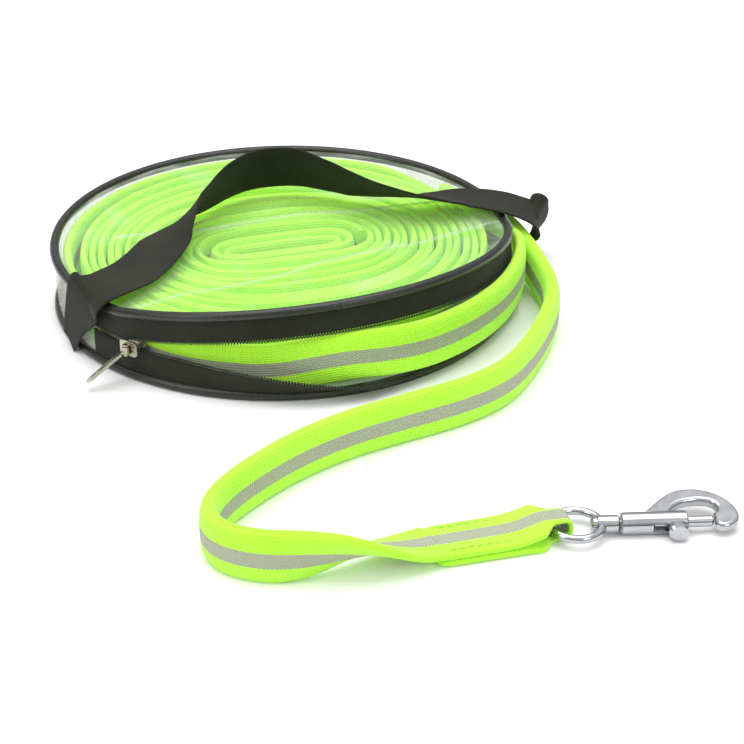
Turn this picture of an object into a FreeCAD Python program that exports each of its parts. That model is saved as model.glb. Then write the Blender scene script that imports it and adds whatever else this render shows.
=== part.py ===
"""Training leash: a lunge line of flat padded webbing, coiled in a round zip bag, with a bolt snap.

Frame: millimetres, origin at the centre of the bag's base on the surface it rests on, +Z up,
-Y towards the open front of the zip, +X towards the side where the line leaves the bag.
"""
import FreeCAD, Part
import math
import os
import Sketcher
from FreeCAD import Placement, Rotation, Vector

DRIVING_SIZES = [
    # alias, value, meaning
    ("bag_radius", 125.0, "outside of the corded piping"),
    ("cord_radius", 2.5, "piping cord"),
    ("cord_ring_radius", 122.5, "middle of the piping cord"),
    ("lid_height", 35.0, "middle of the clear lid, zip closed"),
    ("film_thickness", 0.6, "clear film"),
    ("film_radius", 119.9, "cut edge of the clear lid"),
    ("wall_inside", 122.2, "inside of the clear wall"),
    ("wall_outside", 122.8, "outside of the clear wall"),
    ("wall_low", 5.0, "clear wall starts on the base cord"),
    ("wall_high", 32.5, "clear wall ends under the lid cord"),
    ("base_radius", 120.8, "cut edge of the base panel"),
    ("base_thickness", 1.0, "base panel"),
    ("chord_offset", 44.8, "crease of the lid, from the bag's axis"),
    ("crease_gap", 0.4, "half of the gap between the two lid films"),
    ("chord_angle", 26.0, "crease direction, degrees from +X"),
    ("flap_lift", 11.3, "how far the flap is raised, degrees"),
    ("tape_inside", 122.0, "inside of the upper zip tape"),
    ("tape_outside", 123.0, "outside of the upper zip tape"),
    ("tape_low", 22.2, "lower edge of the upper tape"),
    ("teeth_inside", 121.4, "inside of the zip coil"),
    ("teeth_outside", 123.8, "outside of the zip coil"),
    ("teeth_low", 20.7, "lower edge of the upper zip coil"),
    ("tape_sweep", 120.0, "arc of the upper tape, stopped short of the line's way out"),
    ("rear_start", 36.0, "clear wall starts here, degrees"),
    ("rear_sweep", 182.0, "arc of the clear wall"),
    ("rear_cord_start", 2.9, "rear lid cord starts here, degrees"),
    ("rear_cord_sweep", 226.2, "arc of the rear lid cord"),
    ("flap_start", 204.0, "flap edge starts here, in the flap's own frame"),
    ("flap_sweep", 132.0, "arc of the flap's edge"),
    ("line_width", 26.0, "webbing pressed flat in the coil"),
    ("line_thickness", 5.6, "webbing pressed flat in the coil"),
    ("coil_low", 1.2, "coil stands on the base panel"),
    ("coil_height", 31.0, "turns of the coil, staggered in height"),
    ("coil_radius", 112.9, "outside of the coil without its last turn"),
    ("core_length", 27.0, "half the straight run of the coil's core"),
    ("core_radius", 16.0, "end radius of the coil's core"),
    ("hand_loop_radius", 15.0, "outside of the sewn hand loop"),
    ("hand_loop_inside", 3.6, "inside of the sewn hand loop, two layers of webbing"),
    ("free_width", 25.0, "webbing lying free"),
    ("free_thickness", 7.0, "webbing lying free"),
    ("handle_thickness", 1.8, "handle webbing"),
    ("slider_angle", 232.5, "where the slider stands, degrees"),
    ("slider_length", 11.0, "slider body along the zip"),
    ("slider_low", 15.8, "lower edge of the slider"),
    ("slider_high", 24.2, "upper edge of the slider"),
    ("snap_height", 5.2, "axis of the snap above the surface"),
    ("snap_side", -248.5, "axis of the snap along Y"),
    ("eye_centre", 124.0, "centre of the swivel eye along X"),
    ("eye_radius", 11.3, "middle of the eye's wire"),
    ("eye_wire", 1.9, "radius of the eye's wire"),
    ("barrel_start", 143.0, "rear end of the barrel along X"),
    ("barrel_length", 29.3, "barrel"),
    ("barrel_radius", 4.95, "barrel"),
    ("bolt_radius", 2.5, "sliding bolt"),
    ("bolt_bore", 2.57, "bore for the bolt"),
    ("bolt_start", 157.5, "rear end of the bolt along X"),
    ("bolt_length", 26.5, "bolt"),
    ("knob_place", 167.5, "stem of the thumb knob along X"),
    ("bolt_travel", 8.5, "stroke of the bolt"),
    ("pivot_radius", 2.0, "swivel rivet"),
    ("pivot_bore", 2.07, "bore for the swivel rivet"),
]

doc = FreeCAD.newDocument("training_leash")
sheet = doc.addObject("Spreadsheet::Sheet", "sizes")
for row, (alias, value, meaning) in enumerate(DRIVING_SIZES, start=1):
    sheet.set(f"A{row}", str(value))
    sheet.setAlias(f"A{row}", alias)
    sheet.set(f"B{row}", meaning)
doc.recompute()

parts = []


def size(alias):
    """Value of a driving dimension in the sheet."""
    return float(sheet.get(alias))


def polar(angle, radius, height=0.0):
    """Point at an angle in degrees and a radius round the bag's axis."""
    turn = math.radians(angle)
    return Vector(radius * math.cos(turn), radius * math.sin(turn), height)


def smooth_step(value):
    """Rises from 0 to 1 with no slope at either end."""
    ramp = min(max(value, 0.0), 1.0)
    return ramp * ramp * (3.0 - 2.0 * ramp)


def keep(item, label):
    """Give a sub-part its own name and keep it for the output."""
    item.Label = label
    parts.append(item)
    return item


# ---------------------------------------------------------------- sketch tools

def new_body(name):
    return doc.addObject("PartDesign::Body", name)


def new_sketch(body, role):
    """Sketch on one of the body's own origin planes."""
    sketch = body.newObject("Sketcher::SketchObject", body.Name + "_sketch")
    plane = next(f for f in body.Origin.OriginFeatures if f.Role == role)
    sketch.AttachmentSupport = [(plane, "")]
    sketch.MapMode = "FlatFace"
    return sketch


def add_rectangle(sketch, left, right, low, high):
    """Rectangle with its four sides bound to expressions."""
    x0, x1, y0, y1 = (evaluate(e) for e in (left, right, low, high))
    corners = [Vector(x0, y0), Vector(x1, y0), Vector(x1, y1), Vector(x0, y1)]
    first = sketch.GeometryCount
    for i in range(4):
        sketch.addGeometry(Part.LineSegment(corners[i], corners[(i + 1) % 4]), False)
    for i in range(4):
        following = first + (i + 1) % 4
        sketch.addConstraint(Sketcher.Constraint("Coincident", first + i, 2, following, 1))
    for i, kind in enumerate(("Horizontal", "Vertical", "Horizontal", "Vertical")):
        sketch.addConstraint(Sketcher.Constraint(kind, first + i))
    bind(sketch, "DistanceX", first, 1, left)
    bind(sketch, "DistanceY", first, 1, low)
    bind(sketch, "DistanceX", first + 2, 1, right)
    bind(sketch, "DistanceY", first + 2, 1, high)


def bind(sketch, kind, geometry, point, expression):
    """Signed coordinate of a point, bound to an expression."""
    value = evaluate(expression)
    constraint = Sketcher.Constraint(kind, -1, 1, geometry, point, value)
    index = sketch.addConstraint(constraint)
    sketch.setExpression(f"Constraints[{index}]", expression)


def evaluate(expression):
    """Value of an expression on the sheet, for a sketch's first guess."""
    return float(sheet.evalExpression(expression))


def add_circle(sketch, across, up, radius):
    """Circle with its centre and radius bound to expressions."""
    x, y, r = (evaluate(e) for e in (across, up, radius))
    index = sketch.addGeometry(Part.Circle(Vector(x, y), Vector(0, 0, 1), r), False)
    bind(sketch, "DistanceX", index, 3, across)
    bind(sketch, "DistanceY", index, 3, up)
    constraint = sketch.addConstraint(Sketcher.Constraint("Radius", index, r))
    sketch.setExpression(f"Constraints[{constraint}]", radius)


def pad(body, sketch, length, midplane=False):
    """Pad of a sketch with its length bound to an expression."""
    feature = body.newObject("PartDesign::Pad", body.Name + "_pad")
    feature.Profile = sketch
    feature.SideType = "Symmetric" if midplane else "One side"
    feature.setExpression("Length", length)
    return feature


def revolve(body, sketch, angle, axis="V_Axis"):
    """Turn a sketch about one of its axes."""
    feature = body.newObject("PartDesign::Revolution", body.Name + "_turn")
    feature.Profile = sketch
    feature.ReferenceAxis = (sketch, [axis])
    feature.setExpression("Angle", angle)
    feature.Reversed = False
    return feature


def ring_sector(label, draw, start, sweep, place=None):
    """Piece turned about the bag's axis over an arc; draw adds its section to the sketch."""
    body = new_body(label)
    sketch = new_sketch(body, "XZ_Plane")
    draw(sketch)
    revolve(body, sketch, sweep)
    turn = Placement(Vector(), Rotation(Vector(0, 0, 1), start))
    body.Placement = turn if place is None else place.multiply(turn)
    return keep(body, label)


# ---------------------------------------------------------------- webbing

def ribbon(label, stations, place=None):
    """Flat webbing through stations of (centre, width direction, width, thickness)."""
    wires = []
    last = len(stations) - 1
    for i, (centre, across, width, thickness) in enumerate(stations):
        ahead = stations[min(i + 1, last)][0]
        behind = stations[max(i - 1, 0)][0]
        along = (ahead - behind).normalize()
        across = Vector(across).normalize()
        face = along.cross(across).normalize()
        half = across * (width / 2.0)
        skin = face * (thickness / 2.0)
        corners = [centre - half - skin, centre + half - skin, centre + half + skin, centre - half + skin]
        wires.append(Part.makePolygon(corners + corners[:1]))
    solid = Part.makeLoft(wires, True, True)
    if solid.Volume < 0:
        solid.reverse()
    feature = doc.addObject("Part::Feature", label)
    feature.Shape = solid
    if place is not None:
        feature.Placement = place
    return keep(feature, label)


# ---------------------------------------------------------------- bag, fixed part

CREASE_TURN = Rotation(Vector(0, 0, 1), size("chord_angle"))
CREASE_DIRECTION = CREASE_TURN.multVec(Vector(1, 0, 0))
CREASE_NORMAL = CREASE_TURN.multVec(Vector(0, -1, 0))
CREASE_POINT = CREASE_NORMAL * size("chord_offset") + Vector(0, 0, size("lid_height"))
FLAP_PLACE = Placement(Vector(), Rotation(-CREASE_DIRECTION, size("flap_lift")), CREASE_POINT).multiply(
    Placement(Vector(), CREASE_TURN)
)


def disc(label, radius, low, thickness):
    """Flat round panel."""
    body = new_body(label)
    sketch = new_sketch(body, "XY_Plane")
    add_circle(sketch, "0", "0", radius)
    pad(body, sketch, thickness)
    body.Placement = Placement(Vector(0, 0, low), Rotation())
    return keep(body, label)


def cord_section(height):
    """Round section of the piping cord at a height."""
    return lambda sketch: add_circle(sketch, "sizes.cord_ring_radius", height, "sizes.cord_radius")


def lid_film(label, front, place):
    """Part of the clear lid on one side of the crease, cut as a circle's segment."""
    body = new_body(label)
    sketch = new_sketch(body, "XY_Plane")
    radius = size("film_radius")
    side = 1.0 if front else -1.0
    offset = size("chord_offset") + side * size("crease_gap")
    half_chord = math.sqrt(radius ** 2 - offset ** 2)
    left, right = Vector(-half_chord, -offset), Vector(half_chord, -offset)
    left_angle = math.atan2(-offset, -half_chord)
    right_angle = math.atan2(-offset, half_chord)
    circle = Part.Circle(Vector(), Vector(0, 0, 1), radius)
    if front:
        arc = Part.ArcOfCircle(circle, left_angle, right_angle)
        arc_ends = (1, 2)
    else:
        arc = Part.ArcOfCircle(circle, right_angle, left_angle)
        arc_ends = (2, 1)
    arc_index = sketch.addGeometry(arc, False)
    chord_index = sketch.addGeometry(Part.LineSegment(left, right), False)
    sketch.addConstraint(Sketcher.Constraint("Coincident", arc_index, arc_ends[0], chord_index, 1))
    sketch.addConstraint(Sketcher.Constraint("Coincident", arc_index, arc_ends[1], chord_index, 2))
    sketch.addConstraint(Sketcher.Constraint("Coincident", arc_index, 3, -1, 1))
    sketch.addConstraint(Sketcher.Constraint("Horizontal", chord_index))
    radius_index = sketch.addConstraint(Sketcher.Constraint("Radius", arc_index, radius))
    sketch.setExpression(f"Constraints[{radius_index}]", "sizes.film_radius")
    sign = "+" if front else "-"
    bind(sketch, "DistanceY", chord_index, 1, f"-(sizes.chord_offset {sign} sizes.crease_gap)")
    pad(body, sketch, "sizes.film_thickness", midplane=True)
    body.Placement = place
    return keep(body, label)


disc("base_panel", "sizes.base_radius", 0.0, "sizes.base_thickness")
ring_sector("base_piping", cord_section("sizes.cord_radius"), 0.0, "360")
ring_sector(
    "rear_wall",
    lambda s: add_rectangle(s, "sizes.wall_inside", "sizes.wall_outside", "sizes.wall_low", "sizes.wall_high"),
    size("rear_start"),
    "sizes.rear_sweep",
)
lid_film("lid_film_rear", False, Placement(Vector(0, 0, size("lid_height")), CREASE_TURN))
ring_sector(
    "lid_piping_rear", cord_section("sizes.lid_height"), size("rear_cord_start"), "sizes.rear_cord_sweep"
)

# The zip starts under the left handle end; a short stretch of the upper tape is sewn down there.
ZIP_START = 218.5
ZIP_END = 395.0
STITCHED_TAPE_SWEEP = "10.6"
ring_sector(
    "upper_tape_stitched_end",
    lambda s: add_rectangle(s, "sizes.tape_inside", "sizes.tape_outside", "sizes.teeth_low", "sizes.wall_high"),
    ZIP_START,
    STITCHED_TAPE_SWEEP,
)

# ---------------------------------------------------------------- bag, flap

flap_height = Placement(Vector(0, 0, size("lid_height")), Rotation())
lid_film("lid_film_flap", True, FLAP_PLACE.multiply(flap_height))
ring_sector("lid_piping_flap", cord_section("sizes.lid_height"), size("flap_start"), "sizes.flap_sweep", FLAP_PLACE)
ring_sector(
    "upper_zip_tape",
    lambda s: add_rectangle(s, "sizes.tape_inside", "sizes.tape_outside", "sizes.tape_low", "sizes.wall_high"),
    size("flap_start"),
    "sizes.tape_sweep",
    FLAP_PLACE,
)
ring_sector(
    "upper_zip_teeth",
    lambda s: add_rectangle(s, "sizes.teeth_inside", "sizes.teeth_outside", "sizes.teeth_low", "sizes.tape_low"),
    size("flap_start"),
    "sizes.tape_sweep",
    FLAP_PLACE,
)

# ---------------------------------------------------------------- lower zip tape
# The tape stands upright by the slider, is pushed outwards where the line bulges over it, and is tucked
# in behind the line further right.

TAPE_FOOT_RADIUS = 122.6
TAPE_FOOT_HEIGHT = 4.7
TAPE_LENGTH = 13.0
TAPE_SHORT_LENGTH = 9.5
TAPE_CRUSHED_LENGTH = 4.0
TAPE_THICKNESS = 1.0
TAPE_LEAN = 71.0
TAPE_TUCKED_LEAN = 16.0
TAPE_TUCKED_LENGTH = 4.0
TAPE_CRUSHED_LEAN = 88.0
TEETH_HEIGHT = 1.5
TEETH_THICKNESS = 2.4


def lean_share(angle):
    """0 where the lower tape stands upright by the slider, 1 where the line lies on it."""
    return min(max((angle - 244.0) / 44.0, 0.0), 1.0) ** 1.3


def crush_share(angle):
    """0 in front, 1 at the right where the line and its tail pass low over the tape."""
    return smooth_step((angle - 335.0) / 15.0)


def tape_length(angle):
    """Height of the tape without its coil."""
    length = TAPE_LENGTH + (TAPE_SHORT_LENGTH - TAPE_LENGTH) * lean_share(angle)
    length += (TAPE_TUCKED_LENGTH - length) * smooth_step((angle - 288.0) / 14.0)
    return length + (TAPE_CRUSHED_LENGTH - length) * crush_share(angle)


def tape_station(angle, start, length, thickness):
    """Section of the lower tape from start to start + length up its leaning height."""
    lean_angle = TAPE_LEAN * lean_share(angle)
    lean_angle += (TAPE_TUCKED_LEAN - lean_angle) * smooth_step((angle - 298.0) / 14.0)
    lean_angle += (TAPE_CRUSHED_LEAN - lean_angle) * crush_share(angle)
    lean = math.radians(lean_angle)
    upwards = polar(angle, math.sin(lean), math.cos(lean))
    foot = polar(angle, TAPE_FOOT_RADIUS, TAPE_FOOT_HEIGHT)
    return foot + upwards * (start + length / 2.0), upwards, length, thickness


zip_angles = [ZIP_START + i * (ZIP_END - ZIP_START) / 36.0 for i in range(37)]
ribbon(
    "lower_zip_tape",
    [tape_station(angle, 0.0, tape_length(angle), TAPE_THICKNESS) for angle in zip_angles],
)
ribbon(
    "lower_zip_teeth",
    [tape_station(angle, tape_length(angle), TEETH_HEIGHT, TEETH_THICKNESS) for angle in zip_angles],
)

# ---------------------------------------------------------------- line in the bag


def stadium(sketch, half_run, radius):
    """Closed slot outline along X, half_run and radius bound to the sheet."""
    run, end = evaluate(half_run), evaluate(radius)
    first = sketch.GeometryCount
    right = Part.ArcOfCircle(Part.Circle(Vector(run, 0), Vector(0, 0, 1), end), -math.pi / 2, math.pi / 2)
    left = Part.ArcOfCircle(Part.Circle(Vector(-run, 0), Vector(0, 0, 1), end), math.pi / 2, math.pi * 1.5)
    sketch.addGeometry(right, False)
    sketch.addGeometry(Part.LineSegment(Vector(run, end), Vector(-run, end)), False)
    sketch.addGeometry(left, False)
    sketch.addGeometry(Part.LineSegment(Vector(-run, -end), Vector(run, -end)), False)
    for i in range(4):
        sketch.addConstraint(Sketcher.Constraint("Tangent", first + i, 2, first + (i + 1) % 4, 1))
    sketch.addConstraint(Sketcher.Constraint("PointOnObject", first, 3, -1))
    index = sketch.addConstraint(Sketcher.Constraint("Radius", first, end))
    sketch.setExpression(f"Constraints[{index}]", radius)
    bind(sketch, "DistanceX", first, 3, half_run)
    bind(sketch, "DistanceX", first + 2, 3, f"-({half_run})")


def coil_piece(label, draw):
    """Upright closed piece of the wound line."""
    body = new_body(label)
    sketch = new_sketch(body, "XY_Plane")
    draw(sketch)
    pad(body, sketch, "sizes.coil_height")
    core_turn = Rotation(Vector(0, 0, 1), size("chord_angle") - 12.0)
    body.Placement = Placement(Vector(0, 0, size("coil_low")), core_turn)
    return keep(body, label)


def draw_coil(sketch):
    add_circle(sketch, "0", "0", "sizes.coil_radius")
    stadium(sketch, "sizes.core_length", "sizes.core_radius")


def draw_hand_loop(sketch):
    stadium(sketch, "sizes.core_length", "sizes.hand_loop_radius")
    stadium(sketch, "sizes.core_length", "sizes.hand_loop_inside")


coil_piece("line_coil", draw_coil)
coil_piece("hand_loop", draw_hand_loop)

# The last turn lies round the coil, bulges out over the lower tape and goes back in.
LAST_TURN_RADIUS = 115.95
LAST_TURN_START = 38.7
LAST_TURN_END = 384.0
BULGE = 13.0
CLIMB = 8.3
PASSING_CLIMB = 5.15
REAR_CLIMB = 5.5


def last_turn_station(angle):
    """Upright section of the last turn at an angle round the bag."""
    share = smooth_step((angle - 262.0) / 45.0) * (1.0 - smooth_step((angle - 357.0) / 24.0))
    rise = CLIMB + (PASSING_CLIMB - CLIMB) * smooth_step((angle - 345.0) / 17.0)
    climb = rise * smooth_step((angle - 262.0) / 26.0)
    climb += REAR_CLIMB * smooth_step((angle - 38.0) / 25.0) * (1.0 - smooth_step((angle - 212.0) / 34.0))
    radius = LAST_TURN_RADIUS + BULGE * share
    height = size("coil_low") + climb + size("line_width") / 2.0
    return polar(angle, radius, height), Vector(0, 0, 1), size("line_width"), size("line_thickness")


turn_steps = 56
turn_step = (LAST_TURN_END - LAST_TURN_START) / turn_steps
ribbon(
    "line_outer_turn",
    [last_turn_station(LAST_TURN_START + i * turn_step) for i in range(turn_steps + 1)],
)

# ---------------------------------------------------------------- free tail of the line
# Route on the surface, by hand: out of the bag at the right, round the front and back to the snap.

TAIL_ROUTE = [
    (93.5, 71.5), (111.5, 52), (124, 31), (133, 8), (139.5, -14), (142.5, -38), (139.5, -61), (131, -86),
    (120, -111), (106, -134), (84, -151), (54, -165), (27, -178.5), (3, -196.5), (-15.5, -216),
    (-29, -234), (-35.5, -250), (-31.5, -265.5), (-17, -275), (4, -277.5), (25, -274.5), (44, -267.5),
    (61, -259.5),
]
TAIL_START_HEIGHT = 7.2
ARC_SHARE = 0.45
FLAT_THICKNESS = 3.3


def rounded_route(route):
    """Straight runs joined by tangent arcs; returns (point, run length so far) along it."""
    points = [Vector(x, y, 0) for x, y in route]
    path = [points[0]]
    radii = []
    for i in range(1, len(points) - 1):
        before, corner, after = points[i - 1], points[i], points[i + 1]
        back, ahead = (before - corner), (after - corner)
        shorter = min(back.Length, ahead.Length)
        back.normalize()
        ahead.normalize()
        turn = math.pi - back.getAngle(ahead)
        tangent = ARC_SHARE * shorter
        radius = tangent / math.tan(turn / 2.0)
        radii.append(round(radius, 1))
        centre = corner + (back + ahead).normalize() * math.hypot(radius, tangent)
        first, last = corner + back * tangent, corner + ahead * tangent
        steps = max(2, int(math.degrees(turn) / 12.0) + 1)
        start_arm, end_arm = first - centre, last - centre
        axis = start_arm.cross(end_arm).normalize()
        for k in range(steps + 1):
            arm = Rotation(axis, math.degrees(turn) * k / steps).multVec(start_arm)
            path.append(centre + arm)
    path.append(points[-1])
    return path, radii


tail_path, tail_radii = rounded_route(TAIL_ROUTE)
print("tail arc radii:", tail_radii)
travelled = [0.0]
for first, second in zip(tail_path, tail_path[1:]):
    travelled.append(travelled[-1] + (second - first).Length)
tail_length = travelled[-1]
print("tail length:", round(tail_length, 1))

TWIST_LENGTH = 75.0
DESCENT_START = 52.0
DESCENT_LENGTH = 62.0


def tail_station(point, distance):
    """Upright strip that comes down to the surface, then twists to lie flat before the snap."""
    flat = smooth_step(1.0 - (tail_length - distance) / TWIST_LENGTH)
    turn = math.radians(90.0 * flat)
    drop = smooth_step((distance - DESCENT_START) / DESCENT_LENGTH)
    thickness = size("free_thickness") + (FLAT_THICKNESS - size("free_thickness")) * flat
    standing = size("free_width") / 2.0 * math.cos(turn) + thickness / 2.0 * math.sin(turn)
    height = TAIL_START_HEIGHT * (1.0 - drop) + standing + FLAT_THICKNESS * flat
    index = travelled.index(distance)
    ahead = tail_path[min(index + 1, len(tail_path) - 1)]
    behind = tail_path[max(index - 1, 0)]
    along = (ahead - behind).normalize()
    sideways = Vector(along.y, -along.x, 0)
    across = Vector(0, 0, 1) * math.cos(turn) + sideways * math.sin(turn)
    return point + Vector(0, 0, height), across, size("free_width"), thickness


tail_stations = [tail_station(p, d) for p, d in zip(tail_path, travelled)]
line_tail = ribbon("line_tail", tail_stations)
expected_volume = sum(
    (next_run - run) * (here[2] * here[3] + there[2] * there[3]) / 2.0
    for run, next_run, here, there in zip(travelled, travelled[1:], tail_stations, tail_stations[1:])
)
print("tail volume:", round(line_tail.Shape.Volume), "section times length:", round(expected_volume))

# ---------------------------------------------------------------- sewn loop for the snap
# Side view along the line's end: two sewn layers that open round the eye's wire.

SNAP_POINT = Vector(size("eye_centre") - size("eye_radius"), size("snap_side"), size("snap_height"))
LOOP_START = tail_path[-1]
LOOP_DIRECTION = Vector(SNAP_POINT.x - LOOP_START.x, SNAP_POINT.y - LOOP_START.y, 0)
LOOP_LENGTH = LOOP_DIRECTION.Length
LOOP_PLACE = Placement(
    SNAP_POINT, Rotation(Vector(0, 0, 1), math.degrees(math.atan2(LOOP_DIRECTION.y, LOOP_DIRECTION.x)))
)
NECK_HALF = 5.15
SLOT_HALF = 3.2
SLOT_BACK = -3.6
SLOT_FRONT = 6.6
LAYER_TOP = 1.5
LAYER_BOTTOM = -5.0
NECK_WIDTH = 11.0


def side_face(points_and_arcs):
    """Closed face in the side view from a list of edges."""
    return Part.Face(Part.Wire(points_and_arcs))


def side_point(x, z):
    return Vector(x, 0, z)


def make_snap_loop():
    top_bend = side_point(SLOT_FRONT - SLOT_HALF, NECK_HALF)
    low_bend = side_point(SLOT_FRONT - SLOT_HALF, -NECK_HALF)
    tip = side_point(SLOT_FRONT - SLOT_HALF + NECK_HALF, 0)
    corners = [
        low_bend, side_point(-14, LAYER_BOTTOM), side_point(-LOOP_LENGTH, LAYER_BOTTOM),
        side_point(-LOOP_LENGTH, LAYER_TOP), side_point(-15, LAYER_TOP), side_point(-5, NECK_HALF), top_bend,
    ]
    edges = [Part.LineSegment(a, b).toShape() for a, b in zip(corners, corners[1:])]
    edges.append(Part.Arc(top_bend, tip, low_bend).toShape())
    outline = side_face(edges).extrude(Vector(0, size("free_width"), 0))
    outline.translate(Vector(0, -size("free_width") / 2.0, 0))
    slot_top = side_point(SLOT_FRONT - SLOT_HALF, SLOT_HALF)
    slot_low = side_point(SLOT_FRONT - SLOT_HALF, -SLOT_HALF)
    slot_edges = [
        Part.LineSegment(slot_low, side_point(SLOT_BACK, -SLOT_HALF)).toShape(),
        Part.LineSegment(side_point(SLOT_BACK, -SLOT_HALF), side_point(SLOT_BACK - 4, 0)).toShape(),
        Part.LineSegment(side_point(SLOT_BACK - 4, 0), side_point(SLOT_BACK, SLOT_HALF)).toShape(),
        Part.LineSegment(side_point(SLOT_BACK, SLOT_HALF), slot_top).toShape(),
        Part.Arc(slot_top, side_point(SLOT_FRONT, 0), slot_low).toShape(),
    ]
    slot = side_face(slot_edges).extrude(Vector(0, 40, 0))
    slot.translate(Vector(0, -20, 0))
    wide, narrow = size("free_width") / 2.0, NECK_WIDTH / 2.0
    plan = [
        (-LOOP_LENGTH - 1, -wide), (-10, -wide), (-5, -narrow), (12, -narrow),
        (12, narrow), (-5, narrow), (-10, wide), (-LOOP_LENGTH - 1, wide),
    ]
    plan_wire = Part.makePolygon([Vector(x, y, -10) for x, y in plan + plan[:1]])
    plan_solid = Part.Face(plan_wire).extrude(Vector(0, 0, 20))
    return outline.cut(slot).common(plan_solid)


snap_loop = doc.addObject("Part::Feature", "snap_loop")
snap_loop.Shape = make_snap_loop()
snap_loop.Placement = LOOP_PLACE
keep(snap_loop, "snap_loop")

STITCH_ROWS = 6
stitches = []
for row in range(STITCH_ROWS):
    for side in (-1, 1):
        bar = Part.makeBox(3.4, 0.7, 0.5, Vector(-44 + row * 5.0, side * 9.0 - 0.35, LAYER_TOP - 0.1))
        stitches.append(bar)
loop_stitching = doc.addObject("Part::Feature", "loop_stitching")
loop_stitching.Shape = Part.makeCompound(stitches)
loop_stitching.Placement = LOOP_PLACE
keep(loop_stitching, "loop_stitching")

# ---------------------------------------------------------------- carrying handle
# Black webbing, sewn to the wall at both ends. It has fallen back on the lid: flat at its ends, and
# standing on its rear edge in the middle. Each row is the front edge and the rear edge by hand.

LEFT_END_EDGES = [
    ((-107.6, -66.0, 3.6), (-114.4, -53.4, 3.6)),
    ((-100.9, -76.0, 20.0), (-112.0, -58.4, 20.0)),
    ((-92.6, -86.3, 33.0), (-110.0, -62.3, 33.0)),
    ((-87.0, -88.4, 38.6), (-106.8, -62.9, 39.2)),
    ((-78.0, -80.0, 39.4), (-97.0, -57.5, 39.8)),
    ((-68.5, -66.0, 37.2), (-87.5, -43.0, 37.6)),
    ((-61.0, -54.0, 37.2), (-79.0, -31.0, 37.2)),
]
STRAP_EDGES = [
    ((-56.5, -33.0, 38.2), (-70.8, -8.0, 37.4)),
    ((-55.0, -22.0, 40.0), (-66.0, 4.0, 37.0)),
    ((-52.5, -10.0, 45.0), (-58.0, 17.0, 36.8)),
    ((-49.5, 1.0, 50.0), (-49.0, 27.5, 36.6)),
    ((-43.5, 12.0, 54.0), (-41.0, 36.0, 36.4)),
    ((-29.0, 33.0, 61.0), (-26.0, 51.5, 36.4)),
    ((-13.0, 47.0, 64.0), (-12.0, 58.0, 36.4)),
    ((8.0, 48.5, 64.0), (8.0, 60.0, 36.4)),
    ((27.0, 36.5, 60.5), (25.0, 54.0, 36.4)),
    ((39.5, 26.5, 58.0), (38.0, 47.5, 36.4)),
    ((52.0, 19.0, 55.0), (51.0, 43.5, 36.6)),
    ((65.0, 14.0, 52.0), (66.0, 40.0, 37.0)),
]
RIGHT_END_EDGES = [
    ((76.0, 12.0, 49.0), (78.0, 38.5, 37.6)),
    ((88.0, 13.0, 45.0), (91.0, 41.0, 38.0)),
    ((101.0, 16.0, 41.6), (105.0, 46.0, 39.6)),
    ((113.0, 16.0, 40.4), (119.0, 45.0, 40.0)),
    ((125.0, 12.5, 39.6), (133.5, 41.0, 39.0)),
    ((134.0, 11.5, 35.5), (146.0, 37.5, 34.0)),
    ((136.2, 14.5, 27.5), (149.0, 41.0, 25.5)),
    ((136.0, 20.0, 16.0), (147.0, 47.0, 14.0)),
    ((135.0, 24.0, 7.5), (139.5, 52.0, 6.5)),
    ((130.0, 27.0, 2.8), (125.0, 56.0, 2.8)),
    ((126.8, 28.0, 2.4), (117.0, 57.0, 2.4)),
]


def webbing(label, edges):
    """Handle webbing through hand-placed pairs of edge points."""
    stations = []
    for front, rear in edges:
        front, rear = Vector(*front), Vector(*rear)
        across = rear - front
        stations.append(((front + rear) * 0.5, across, across.Length, size("handle_thickness")))
    return ribbon(label, stations)


webbing("handle_left_end", LEFT_END_EDGES)
webbing("handle_strap", STRAP_EDGES)
webbing("handle_right_end", RIGHT_END_EDGES)

# ---------------------------------------------------------------- zip slider
# Built at angle 0 with the radius along +X, then turned to its place on the zip.

SLIDER_PLACE = Placement(Vector(), Rotation(Vector(0, 0, 1), size("slider_angle")))
PLATE_THICKNESS = 1.0
FRONT_PLATE_FACE = 126.8
BACK_PLATE_FACE = 120.1
DIVIDER_HALF = 0.45
ZIP_LINE = 20.0
PIN_PLACE = 129.9
PIN_RADIUS = 0.7


def make_slider_body():
    """Two wings joined by the divider that parts the two rows of the zip."""
    half = size("slider_length") / 2.0
    low, high = size("slider_low"), size("slider_high")
    outline = [
        (-half, low + 1.2), (-half + 1.2, low + 0.6), (half - 2.0, low), (half, low + 1.4),
        (half, high - 1.4), (half - 2.0, high), (-half + 1.2, high - 0.6), (-half, high - 1.2),
    ]
    wings = []
    for face in (BACK_PLATE_FACE, FRONT_PLATE_FACE):
        wire = Part.makePolygon([Vector(face, y, z) for y, z in outline + outline[:1]])
        wings.append(Part.Face(wire).extrude(Vector(PLATE_THICKNESS, 0, 0)))
    gap = FRONT_PLATE_FACE - BACK_PLATE_FACE
    divider = Part.makeBox(gap, 3.2, 2 * DIVIDER_HALF, Vector(BACK_PLATE_FACE + 0.5, 1.6, ZIP_LINE - DIVIDER_HALF))
    return wings[0].fuse([wings[1], divider]).removeSplitter()


def make_slider_crown():
    """Two ears on the front wing with the tab's upright pin between them."""
    face = FRONT_PLATE_FACE + PLATE_THICKNESS
    ears = []
    for height in (17.0, 22.2):
        ear = Part.makeBox(PIN_PLACE - face, 2.6, 0.8, Vector(face, -1.3, height))
        round_end = Part.makeCylinder(1.3, 0.8, Vector(PIN_PLACE, 0, height))
        ears.extend([ear, round_end])
    pin = Part.makeCylinder(PIN_RADIUS, 6.0, Vector(PIN_PLACE, 0, 17.0))
    return pin.fuse(ears).removeSplitter()


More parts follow.
